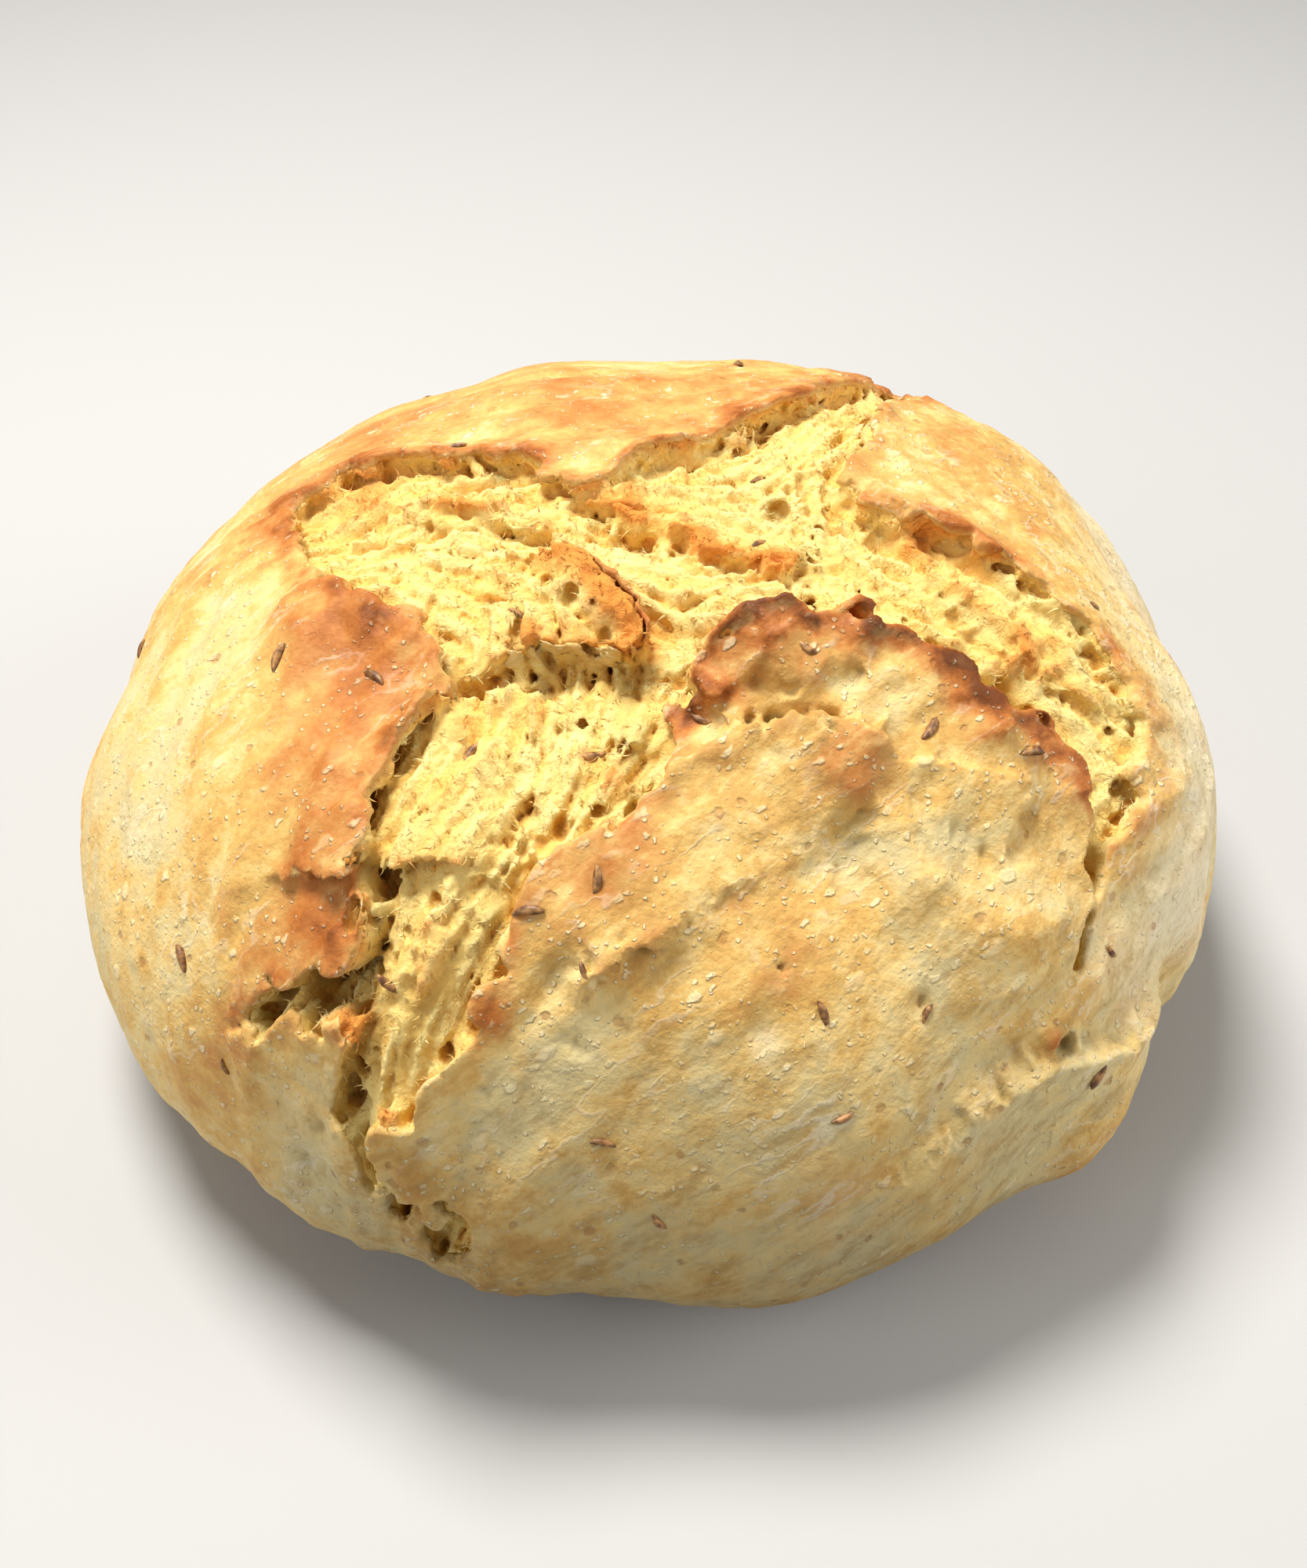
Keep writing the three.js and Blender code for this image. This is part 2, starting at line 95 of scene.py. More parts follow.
# Folds: along each line its left side stands up by the last number and its right side dips by half.
folds = [
    {"name": "crease below the crown flap", "reach": 5, "hang": 0.35, "toast": 0.15, "points": [
        [64, -52, 0], [48, -56, 0.8], [37, -58, 2], [32, -56, 3.6], [26, -55, 4], [19, -55, 3.8],
        [12, -58, 3.2], [5.5, -61, 2.6]]},
    {"name": "ridge at the back", "reach": 7, "hang": 0.4, "toast": 0.5, "points": [
        [-15, -4, 1.5], [-6, -7, 4], [2, -13, 4.5], [9, -18, 4.5], [18, -19, 4.5], [26, -19, 4],
        [31, -13, 0]]},
    {"name": "ledge at the back left", "reach": 7, "hang": 0.35, "toast": 0.35, "points": [
        [-51, 2, 1], [-38, -5, 3], [-30, -7, 3.5], [-20, -12, 3.5], [-16, -17, 0]]},
    {"name": "edge of the middle mound", "reach": 10, "hang": 0.2, "toast": 0.3, "points": [
        [-34, -46, 0.5], [-26, -44, 3], [-18, -41, 4.5], [-10, -42, 5.5], [-4, -44, 6.5], [-1, -40, 7],
        [-4, -34, 7], [-9, -29, 7], [-13, -24, 6], [-18, -20, 4], [-24, -18, 2], [-30, -18, 0.5]]},
    {"name": "edge of the middle step", "reach": 6, "hang": 0.35, "toast": 0.2, "points": [
        [-28, -63, 1], [-24, -59, 3], [-19, -55, 4], [-19, -50, 4.5], [-25, -48, 4], [-34, -50, 4],
        [-40, -53, 1]]},
    {"name": "shelf across the left valley", "reach": 6, "hang": 0.5, "toast": 0.05, "points": [
        [-46, -69, 3.4], [-37, -70, 4], [-29, -71, 4], [-25, -73, 2.6], [-20, -77, 0]]},
    {"name": "knob beside the front lip", "reach": 5, "hang": 0.3, "toast": 0.1, "points": [
        [-5, -69, 1], [-4, -66, 3.5], [-5, -62, 3.5], [-9, -59, 2], [-15, -58, 0]]},
    {"name": "long strand of the right crumb", "reach": 5, "hang": 0.4, "toast": 0.4, "points": [
        [38, 1, 0.5], [45, -11, 2.5], [53, -22, 3], [62, -31, 3], [73, -34, 2], [78, -38, 0]]},
    {"name": "near strand of the right crumb", "reach": 5, "hang": 0.4, "toast": 0.3, "points": [
        [41, -24, 0.5], [48, -29, 2.4], [56, -34, 2.6], [64, -37, 2], [69, -42, 0]]},
    {"name": "far strand of the right crumb", "reach": 4, "hang": 0.4, "toast": 0.3, "points": [
        [49, -9, 0.5], [57, -15, 2.2], [66, -21, 2.4], [75, -27, 0]]},
    {"name": "overlap on the front crust", "reach": 8, "hang": 0.1, "toast": 0.15, "points": [
        [-13, -89, 0], [-9, -87, 3], [-2, -84, 2.8], [7, -79, 1.8], [19, -74, 0.8], [34, -71, 0]]},
    {"name": "groove above the foot at the right", "reach": 8, "hang": 0.0, "toast": 0.0, "points": [
        [96, -66, 1], [88, -75, 2], [80, -81, 3], [66, -88, 2.6], [53, -96, 1.8], [40, -106, 1],
        [31, -112, 0]]},
]

# Soft swellings and dents: [right, back, height, half-width].
swellings = [
    [-16, -33, 2.2, 10], [-54, -30, 2.4, 10], [-45, -53, 1.6, 7], [-78, -40, -1.8, 16],
    [-29, -64, 2.6, 8], [-32, -80, 4.2, 8], [-36, -91, 3.2, 6.5], [-22, -30, 1.6, 9],
    [-42, -20, 1.6, 9], [-33, -2, 1.4, 9], [-10, -14, -1.6, 6], [12, -27, 1.2, 9], [6, 2, 2.2, 11],
    [22, 6, 1.8, 9], [36, 30, 1.4, 8], [22, -64, 1.8, 9], [28, -72, -3, 6], [47, -67, -1.6, 6],
    [46, -76, 1.2, 12], [-62, -100, -1.4, 9], [16, -95, -1, 6], [60, -72, 1, 10], [86, -40, 1.4, 12],
    [62, 30, 1.6, 14], [-20, 48, 1.4, 20], [30, 92, -1.6, 16], [-50, 88, 1.4, 16], [-97, 0, -2.2, 22],
    [-30, 63, -2.6, 28], [66, 44, 1.4, 16], [97, 10, -5, 22], [110, -10, -2, 16], [112, -40, -2.6, 14],
    [106, -64, -6, 10], [88, -98, 4, 15], [24, -131, 6, 26], [55, -112, 1.6, 16], [-30, -128, 2.5, 16],
    [-92, 30, -2.8, 18], [-55, 74, -2, 16], [-66, -116, 2.4, 18], [-100, -83, 1.2, 12],
]

# Deep pockets left by big bubbles: [right, back, depth, half-width].
pockets = [
    [-46, -79, 5, 5], [-53, -81, 4, 4], [-63, -82, 3, 3], [-37, -50, 3, 2.4], [-42, -58, 3, 2.4],
    [-43, -66, 3, 2.2], [-43.5, -71, 3, 2.2], [-20, -46, 4, 2.5], [-14, -43, 2.5, 4], [-31, -48, 3, 3],
    [0, -65, 4, 3.5], [-49, -98, 4, 3], [-51, -93, 3, 2.5], [-48, -103, 3.5, 2.5], [-33, -116, 3, 3],
    [50, 2, 3, 4], [62, -6, 2.5, 4], [62, -38, 3, 4], [-28, -8, 2.5, 4], [-2, -14, 2.5, 5],
]
unevenness = [
    [0.55, 7.1, 3.3, 2.4, 0.4], [0.5, 4.6, 9.2, 3.1, 1.9],
    [0.42, 12.4, 6.1, 5.2, 3.3], [0.34, 9.3, 15.7, 8.4, 5.1],
]
fraying = [[0.5, 0.21, 0.13, 0.6], [0.6, 0.37, -0.33, 2.2], [0.7, -0.52, 0.61, 4.1]]
tatters = [[1.0, 5.5], [0.8, 2.6], [0.6, 1.3]]


def smooth(t):
    return t * t * (3 - 2 * t)


def directionsOf(right, back):
    polar = np.hypot(right, back) / plainLoaf["crustPerRadian"]
    turn = np.arctan2(back, right)
    return np.stack([np.sin(polar) * np.cos(turn), np.sin(polar) * np.sin(turn), np.cos(polar)], axis=-1)


def placesOf(directions):
    polar = np.arccos(np.clip(directions[:, 2], -1, 1))
    turn = np.arctan2(directions[:, 1], directions[:, 0])
    reach = plainLoaf["crustPerRadian"] * polar
    return reach * np.cos(turn), reach * np.sin(turn)


def plainRadius(directions):
    outward = np.hypot(directions[:, 0], directions[:, 1])
    turn = np.arctan2(directions[:, 1], directions[:, 0])
    wobble = 1 + plainLoaf["wobble"] * (np.sin(2 * turn + 0.6) + 0.8 * np.sin(3 * turn + 2.2))
    above = directions[:, 2] >= 0
    height = np.where(above, plainLoaf["riseAbove"], plainLoaf["dropBelow"])
    power = np.where(above, plainLoaf["shoulderPower"], plainLoaf["undersidePower"])
    across = (outward / (plainLoaf["halfWidth"] * wobble)) ** power
    return (across + (np.abs(directions[:, 2]) / height) ** power) ** (-1 / power)


# Nearest point of a chain of [x, y, ...values]: distance, the chain's values there, the way from it,
# and whether the place is on the chain's left.
def nearestOn(chain, closed, x, y):
    chain = np.asarray(chain, dtype=float)
    starts = chain if closed else chain[:-1]
    ends = np.roll(chain, -1, axis=0) if closed else chain[1:]
    best = np.full(x.shape, np.inf)
    segment = np.zeros(x.shape, dtype=int)
    along = np.zeros(x.shape)
    for number, (a, b) in enumerate(zip(starts, ends)):
        dx, dy = b[0] - a[0], b[1] - a[1]
        t = np.clip(((x - a[0]) * dx + (y - a[1]) * dy) / (dx * dx + dy * dy), 0, 1)
        squared = (x - a[0] - t * dx) ** 2 + (y - a[1] - t * dy) ** 2
        closer = squared < best
        best = np.where(closer, squared, best)
        segment = np.where(closer, number, segment)
        along = np.where(closer, t, along)
    a, b = starts[segment], ends[segment]
    near = a + along[:, None] * (b - a)
    away = np.stack([x - near[:, 0], y - near[:, 1]], axis=-1)
    onLeft = (b[:, 0] - a[:, 0]) * away[:, 1] - (b[:, 1] - a[:, 1]) * away[:, 0] > 0
    return np.sqrt(best), near[:, 2:], away, onLeft


def isInside(chain, x, y):
    inside = np.zeros(x.shape, dtype=bool)
    for a, b in zip(chain, chain[1:] + chain[:1]):
        if a[1] == b[1]:
            continue
        crossing = a[0] + (y - a[1]) * (b[0] - a[0]) / (b[1] - a[1])
        inside ^= ((a[1] > y) != (b[1] > y)) & (x < crossing)
    return inside


tearOutline = [
    [*point, stretch["roll"], stretch["lean"], stretch["brown"]]
    for stretch in tear
    for point in stretch["points"]
]


# Smooth random clouds in space, about -1 to 1.
lattice = random.uniform(-1, 1, (48, 48, 48)).astype(np.float32)


def cloud(points, size, start=0.0):
    scaled = points / size + start
    corner = np.floor(scaled).astype(np.int32)
    part = smooth(scaled - corner)
    low, high = corner % 48, (corner + 1) % 48
    value = 0
    for ix, wx in ((low[:, 0], 1 - part[:, 0]), (high[:, 0], part[:, 0])):
        for iy, wy in ((low[:, 1], 1 - part[:, 1]), (high[:, 1], part[:, 1])):
            for iz, wz in ((low[:, 2], 1 - part[:, 2]), (high[:, 2], part[:, 2])):
                value = value + wx * wy * wz * lattice[ix, iy, iz]
    return value


# How far a torn edge is frayed at places over the crust.
def tattered(right, back, start):
    places = np.stack([right, back, 0 * back], axis=-1)
    return sum(shift * cloud(places, size, start + size) for shift, size in tatters)


# Where a torn edge is more ragged than elsewhere: [right, back, amount, half-width].
ragged = [[14, -41, 0.4, 6], [26, -40, 0.4, 6], [40, -42, 0.4, 8], [-38, -105, 0.6, 10]]


def edgeNear(right, back):
    torn = 1 + bumpHeight(ragged, right, back)
    x, y = right + torn * tattered(right, back, 0.4), back + torn * tattered(right, back, 21.7)
    for shift, alongRight, alongBack, start in fraying:
        phase = alongRight * right + alongBack * back + start
        x += shift * np.sin(phase)
        y += shift * np.cos(1.3 * phase + start)
    distance, values, away, _ = nearestOn(tearOutline, True, x, y)
    side = np.where(isInside(tearOutline, x, y), -1.0, 1.0)
    outward = side[:, None] * away / np.maximum(distance, 1e-6)[:, None]
    return distance, values, side, outward


def unevennessOf(directions):
    return sum(
        height * np.sin(x * directions[:, 0] + y * directions[:, 1] + z * directions[:, 2] + start)
        for height, x, y, z, start in unevenness
    )


foldLook = {"dip": 0.5, "hangBelow": 0.6, "hangFade": 2.4, "toastBelow": 0.2, "toastFade": 2.8}


# Height of the folds, how far their edges hang over, and how browned their edges are.
def foldShape(right, back):
    torn = [tattered(right, back, start) for start in (7.9, 33.2)]
    height, browned = np.zeros(right.shape), np.zeros(right.shape)
    hang = np.zeros((*right.shape, 2))
    for fold in folds:
        share = min(1.0, 4 * fold["hang"])
        x, y = right + share * torn[0], back + share * torn[1]
        distance, values, away, onLeft = nearestOn(fold["points"], False, x, y)
        fade = values[:, 0] * np.exp(-distance / fold["reach"])
        height += np.where(onLeft, fade, -foldLook["dip"] * fade)
        over = fold["hang"] * values[:, 0] * np.exp(-distance / foldLook["hangFade"])
        over = over / np.maximum(distance, 1e-6)
        hang -= (np.where(onLeft, 1, foldLook["hangBelow"]) * over)[:, None] * away
        browned += (np.where(onLeft, 1, foldLook["toastBelow"]) * fold["toast"] * values[:, 0] / 4
                    * np.exp(-distance / foldLook["toastFade"]))
    return height, hang, browned


def bumpHeight(bumps, right, back):
    return sum(
        height * np.exp(-((right - x) ** 2 + (back - y) ** 2) / halfWidth ** 2)
        for x, y, height, halfWidth in bumps
    )


# Heights over the plain loaf of the outer crust and of the torn crumb at places over the crust.
def heightsAt(right, back):
    distance, values, side, outward = edgeNear(right, back)
    curl, footDepth, roll, lean, brown = values.T
    uneven = unevennessOf(directionsOf(right, back))
    foldRise, hang, browned = foldShape(right, back)
    common = foldRise + bumpHeight(swellings, right, back)
    crustHeight = curl * np.exp(-distance / roll) + uneven + common
    middle = 1 - np.exp(-distance / crumb["rise"])
    crumbHeight = -footDepth + (footDepth - crumb["depth"]) * middle
    crumbHeight += crumb["roughness"] * uneven * middle - bumpHeight(pockets, right, back) + common
    return {
        "distance": distance, "side": side, "outward": outward, "curl": curl, "roll": roll,
        "lean": lean, "brown": brown, "crust": crustHeight, "crumb": crumbHeight,
        "hangX": hang[:, 0], "hangY": hang[:, 1], "browned": browned,
    }


# Small pits in the crust where a bubble burst or a seed fell out: [right, back, depth, half-width].
# The one with a depth below nought is the chip that stands up at the lower right.
pits = [
    [7, -75, 2.2, 1.0], [10, -79, 1.4, 0.7], [18, -86, 2.0, 1.0], [40, -87, 1.8, 1.3],
    [36, -81, 0.8, 2.6], [33, -47, 1.6, 0.8], [28, -44, 1.2, 0.5], [31, -66, 1.0, 2.2],
    [14, -93, 1.0, 1.2], [18, -96, 0.9, 1.0], [74, -88, 1.0, 1.0], [27, -100, 0.8, 1.2],
    [-4, -93, 0.8, 1.0], [-54, -99, 1.4, 1.2], [64, -86, -1.8, 1.6], [-60, -104, 1.2, 1.2],
    [-62, -94, 1.0, 1.4], [24, -74, 1.2, 2.0], [44, -70, 1.0, 2.0],
]
# Fine cracks: [half-width, depth, points...].
cracks = [
    [0.5, 1.2, [-14, -93], [-11, -95], [-8, -97]],
    [0.5, 1.4, [-24, -98], [-19, -99.5], [-14, -100.5]],
    [0.8, 2.8, [14, -54.5], [19, -53.5], [25, -53.2], [31, -55]],
    [0.4, 1.0, [38, -56.5], [43, -56], [46, -57]],
    [0.5, 1.0, [60, -96], [66, -88], [70, -84]],
    [0.4, 0.9, [-66, -92], [-60, -90], [-57, -93]],
]
# How the dough was drawn out: [right, back, degrees, half-width]. Wrinkles and strands follow it.
drawnOut = [
    [-15, -52, 88, 13], [-30, -80, 55, 14], [-45, -100, 65, 12], [-40, -25, 140, 12], [-5, -33, 150, 9],
    [5, -12, -15, 13], [-35, 0, 5, 16], [50, -15, -42, 15], [65, -33, -35, 12], [20, -30, 28, 11],
    [32, 32, 60, 20], [10, 8, 35, 12], [20, -92, 30, 34], [45, -75, 12, 16], [-50, -55, 70, 14],
    [-75, -50, 75, 25], [30, -48, 35, 12], [80, -70, 60, 22], [-55, -100, 55, 14], [-20, 50, 0, 40],
    [70, 20, -50, 30], [20, -62, 8, 9],
]
# Where the oven browned it: [right, back, amount, half-width].
toasted = [
    [-52, -31, 0.8, 9], [-45, -37, 0.6, 7], [-46, -46, 0.75, 8], [-50, -57, 0.6, 8], [-49, -68, 0.55, 7],
    [-46, -75, 0.7, 4], [-55, -75, 0.4, 5], [26, -60, 0.35, 6], [12, -62, 0.3, 5], [-3, -76, 0.4, 9],
    [-12, -81, 0.35, 7], [-22, -90, 0.75, 3.2], [-27, -96, 0.6, 2.6], [-42, -88, 0.5, 2.6],
    [-40, 30, 0.35, 22], [-8, 20, 0.45, 17], [14, 32, 0.4, 14], [-60, 20, 0.4, 10], [60, 10, 0.35, 16],
    [18, -39, 1.0, 4.5], [12, -43, 0.6, 3.5], [29, -40, 0.6, 4], [44, -43, 1.1, 5.5], [57, -47, 0.5, 5],
    [31, -62, 0.5, 4], [-29, -55, 0.55, 3.2], [-7, -31, 0.7, 5], [-2, -39, 0.8, 4], [-17, -22, 0.6, 6],
    [-3, -9, 0.6, 4.5], [9, -17, 0.7, 4], [23, -19, 0.8, 4], [66, -27, 0.4, 5], [57, -13, 0.4, 5],
    [-10, 60, 0.5, 30], [40, 60, 0.4, 20], [-45, 55, 0.35, 20], [60, 30, 0.4, 14], [64, -86, 1.0, 1.8],
    [88, -95, 0.35, 8], [10, -115, 0.1, 20], [88, -66, -0.35, 15], [56, -102, -0.3, 16],
    [-58, -100, -0.25, 14], [100, -30, -0.3, 22], [92, 20, -0.25, 20], [-38, -101, 0.35, 3],
    [-38, -108, 0.3, 3], [20, -80, 0.15, 20],
    [48, -8, 0.5, 4.5], [62, -31, 0.3, 4], [-58, 3, 0.35, 7], [-50, 11, 0.35, 6], [-9, -61, 0.35, 4],
    [6, -54, 0.5, 2.5], [70, -58, 0.35, 4], [-72, 0, 0.3, 14],
]
floured = [
    [100, -30, 0.75, 24], [96, 12, 0.7, 22], [80, 36, 0.45, 16], [82, -72, 0.6, 13], [68, -72, 0.3, 7],
    [-60, -98, 0.4, 13], [16, -94, 0.6, 3.5], [54, -98, 0.4, 12], [-50, -36, 0.45, 4], [-54, -47, 0.4, 3],
    [-45, -54, 0.4, 3], [22, -62, 0.5, 2.5], [46, -64, 0.4, 4], [48, -70, 0.35, 3], [25, -108, 0.3, 12],
    [-8, -85, 0.5, 2.5], [-82, 30, 0.2, 20], [35, -120, 0.35, 14], [104, -50, 0.5, 12], [88, -55, 0.4, 12],
]


# Where the crust is lumpy and wrinkled: [right, back, amount, half-width].
lumpy = [
    [25, -66, 1.0, 10], [40, -64, 0.9, 10], [12, -68, 0.6, 8], [-48, -32, 1.1, 9], [-44, -54, 1.1, 8],
    [-12, -80, 0.9, 8], [58, -62, 0.5, 8], [-44, -70, 0.7, 8], [30, -46, 0.6, 10], [50, -48, 0.5, 8],
    [-55, -95, 0.6, 12], [14, -95, 0.7, 5], [70, -80, 0.5, 10],
]


# Where the crumb between the lips has risen further: [right, back, height, half-width].
risen = [
    [-31, -80, 2.6, 7], [-41, -100, 2.4, 8], [-33, -62, 1.2, 6], [-22, -70, 1.2, 6], [60, -30, 1.0, 10],
    [-38, -112, 1.6, 6],
]


# A table's value at a place between four of its cells.
def betweenCells(table, i, j, x, y):
    return (table[i, j] * (1 - x) * (1 - y) + table[i + 1, j] * x * (1 - y)
            + table[i, j + 1] * (1 - x) * y + table[i + 1, j + 1] * x * y)


# What the flat map says at places over the crust.
def lookUp(name, right, back):
    table = flat[name]
    x = np.clip((right + flatReach) / flatStep, 0, table.shape[0] - 1.001)
    y = np.clip((back + flatReach) / flatStep, 0, table.shape[1] - 1.001)
    i, j = x.astype(np.int32), y.astype(np.int32)
    return betweenCells(table, i, j, x - i, y - j)


# Random grain smeared along the way the dough was drawn out, from -1 to 1.
def drawnGrain(cell, length, seed):
    grain = np.random.default_rng(seed).uniform(-1, 1, (int(2 * flatReach / cell) + 2,) * 2)
    total = np.zeros(gridRight.shape)
    steps = 9
    for way in (-1, 1):
        x, y = gridRight.copy(), gridBack.copy()
        for _ in range(steps):
            u = np.clip((x + flatReach) / cell, 0, grain.shape[0] - 1.001)
            v = np.clip((y + flatReach) / cell, 0, grain.shape[1] - 1.001)
            i, j = u.astype(np.int32), v.astype(np.int32)
            total += betweenCells(grain, i, j, smooth(u - i), smooth(v - j))
            x += way * wayX * length / (2 * steps)
            y += way * wayY * length / (2 * steps)
    return total / np.std(total) / 2


# Bubbles torn open and drawn out with the dough: near 1 on the thin walls between them, 0 inside.
def bubbleWalls(size, stretch, wall, seed):
    jitter = np.random.default_rng(seed).uniform(0, 1, (2, 200, 200))
    torn = flat["edge"] < 5
    along, across = wayX[torn], wayY[torn]
    bend = 0.5 * flat["strands"][torn]
    u = (gridRight[torn] + flatReach) / size - bend * across
    v = (gridBack[torn] + flatReach) / size + bend * along
    column, row = np.floor(u).astype(int), np.floor(v).astype(int)
    nearest = np.full(u.shape, 9.0)
    second = nearest.copy()
    for right in range(-2, 3):
        for up in range(-2, 3):
            i, j = (column + right) % 200, (row + up) % 200
            dx, dy = column + right + jitter[0][i, j] - u, row + up + jitter[1][i, j] - v
            away = np.hypot((dx * along + dy * across) / stretch, dy * along - dx * across)
            second = np.minimum(second, np.maximum(nearest, away))
            nearest = np.minimum(nearest, away)
    walls = np.ones(gridRight.shape)
    walls[torn] = np.exp(-(second - nearest) / wall)
    return walls


# Grain along the drawn dough: how wide, how long, and the seed that it starts from.
drawnKinds = {
    "strands": [0.9, 11, 3], "fine": [0.5, 5, 5], "sheets": [4.2, 20, 6],
    "wrinkles": [3.2, 22, 4], "creases": [1.3, 8, 7], "lumps": [3.0, 4, 8],
}
# Bubbles torn open: height of their walls, spacing, how long they are drawn, wall, seed.
tornBubbles = [[2.0, 4.6, 2.0, 0.22, 9], [0.6, 2.3, 2.2, 0.3, 10]]

print("flat map of the skin")
flatStep = 0.3
flatReach = 150.0
axis = np.arange(-flatReach, flatReach + flatStep, flatStep)
gridRight, gridBack = np.meshgrid(axis, axis, indexing="ij")
flat = {name: value.reshape(gridRight.shape) if value.ndim == 1 else value
        for name, value in heightsAt(gridRight.ravel(), gridBack.ravel()).items()}
flat["edge"] = flat["distance"] * flat["side"]
twice = sum(np.exp(-((gridRight - x) ** 2 + (gridBack - y) ** 2) / reach ** 2)
            * np.exp(2j * math.radians(angle)) for x, y, angle, reach in drawnOut)
wayX, wayY = np.cos(np.angle(twice) / 2), np.sin(np.angle(twice) / 2)
for name, (cell, length, seed) in drawnKinds.items():
    flat[name] = drawnGrain(cell, length, seed)
flat["toast"] = bumpHeight(toasted, gridRight, gridBack) + flat["browned"]
flat["lumpy"] = bumpHeight(lumpy, gridRight, gridBack)
flat["flour"] = bumpHeight(floured, gridRight, gridBack)
flat["crumb"] += bumpHeight(risen, gridRight, gridBack)
flat["crust"] += 0.7 * flat["wrinkles"] * np.clip(1.2 - flat["edge"] / 60, 0.5, 1)
flat["crust"] += ((0.09 + 0.1 * flat["lumpy"]) * flat["creases"]
                  + (0.1 + 0.5 * flat["lumpy"]) * flat["lumps"])
flat["crust"] -= bumpHeight(pits, gridRight, gridBack)
for halfWidth, depth, *points in cracks:
    pairs = [[*point, 0] for point in points]
    away = nearestOn(pairs, False, gridRight.ravel(), gridBack.ravel())[0].reshape(gridRight.shape)
    flat["crust"] -= depth * np.exp(-(away / halfWidth) ** 2)
flat["crumb"] += 0.5 * flat["strands"] + 0.3 * flat["fine"] + 1.7 * (0.4 - np.abs(flat["sheets"]))
gaping = np.stack([gridRight.ravel(), gridBack.ravel(), 0 * gridBack.ravel()], axis=-1)
gaping = np.clip(0.55 + 0.9 * cloud(gaping, 10, 3.3), 0.1, 1.2).reshape(gridRight.shape)
for height, *kind in tornBubbles:
    flat["crumb"] += height * gaping * (bubbleWalls(*kind) - 0.4)
slopeX, slopeY = np.gradient(flat["edge"], flatStep)
steepness = np.maximum(np.hypot(slopeX, slopeY), 1e-6)
flat["outX"], flat["outY"] = slopeX / steepness, slopeY / steepness


# The loaf's skin. Its points are drawn towards the torn edge, and crust and crumb hang over there.
edgeLook = {"drawn": 5, "crustHang": 0.6, "crumbHang": 0.8, "hangFade": 3}


def skinPoints(directions):
    right, back = placesOf(directions)
    edge = lookUp("edge", right, back)
    move = -edge * edgeLook["drawn"] / (np.abs(edge) + edgeLook["drawn"])
    right = right + lookUp("outX", right, back) * move
    back = back + lookUp("outY", right, back) * move
    edge = lookUp("edge", right, back)
    share = smooth(np.clip(0.5 + edge / (2 * crumb["edgeWidth"]), 0, 1))
    height = lookUp("crumb", right, back) * (1 - share) + lookUp("crust", right, back) * share
    hang = np.where(edge > 0, edgeLook["crustHang"], edgeLook["crumbHang"])
    hang = hang * lookUp("lean", right, back) * np.exp(-np.abs(edge) / edgeLook["hangFade"])
    sideways = -np.sign(edge) * hang
    overX, overY = lookUp("hangX", right, back), lookUp("hangY", right, back)
    moved = directionsOf(right + overX + lookUp("outX", right, back) * sideways,
                         back + overY + lookUp("outY", right, back) * sideways)
    points = moved * (plainRadius(moved) + height)[:, None]
    points[:, 2] = np.maximum(points[:, 2] + plainLoaf["widestAt"], 0)
    return points


# What the loaf is like at points in space, in millimetres from the middle of its foot.
def study(points):
    fromHeart = points - np.array([0, 0, plainLoaf["widestAt"]])
    reach = np.linalg.norm(fromHeart, axis=1)
    directions = fromHeart / np.maximum(reach, 1e-6)[:, None]
    right, back = placesOf(directions)
    height = reach - plainRadius(directions)
    edge = lookUp("edge", right, back)
    depth = lookUp("crust", right, back) - height
    tuck = np.maximum.reduce([1.0 - depth, edge - 6, -22 - height, 5 - points[:, 2]])
    return {"right": right, "back": back, "edge": edge, "depth": depth, "tuck": tuck}


# Numbers read from a mesh's points, edges or faces, so many for each.
def readFrom(items, name, width, kind=float):
    values = np.empty(len(items) * width, dtype=kind)
    items.foreach_get(name, values)
    return values.reshape(-1, width)


def sphereMesh(detail):
    made = bpy.data.meshes.new("plainBall")
    ball = bmesh.new()
    bmesh.ops.create_icosphere(ball, subdivisions=detail, radius=1)
    ball.to_mesh(made)
    ball.free()
    points = readFrom(made.vertices, "co", 3)
    made.calc_loop_triangles()
    faces = readFrom(made.loop_triangles, "vertices", 3, np.int32)
    bpy.data.meshes.remove(made)
    return points / np.linalg.norm(points, axis=1)[:, None], faces


# Directions drawn towards a middle one, so that the skin has more points there.
def crowded(directions, middle, power):
    cosine = np.clip(directions @ middle, -1, 1)
    angle = np.arccos(cosine)
    aside = directions - cosine[:, None] * middle
    aside /= np.maximum(np.linalg.norm(aside, axis=1), 1e-9)[:, None]
    drawn = np.pi * (angle / np.pi) ** power
    return np.cos(drawn)[:, None] * middle + np.sin(drawn)[:, None] * aside


print("skin")
middle = directionsOf(np.array([-4.0]), np.array([-34.0]))[0]
directions, faces = sphereMesh(9)
skin = skinPoints(crowded(directions, middle, 1.3))
shift = np.array([*(skin.min(axis=0) + skin.max(axis=0))[:2] / 2, 0])
print("box of the skin", skin.min(axis=0) - shift, skin.max(axis=0) - shift)

print("solid of the loaf")
voxel = 0.5
transform = openvdb.createLinearTransform(voxelSize=voxel)
field = openvdb.FloatGrid.createLevelSetFromPolygons(
    skin.astype(np.float32), triangles=faces.astype(np.uint32), transform=transform, halfWidth=4)
low, high = field.evalActiveVoxelBoundingBox()
low, high = np.array(low) - 3, np.array(high) + 3
solid = np.empty(high - low + 1, dtype=np.float32)
field.copyToArray(solid, ijk=tuple(int(k) for k in low))
deepest = float(field.background)
tuck = np.full(solid.shape, 3.0, dtype=np.float32)

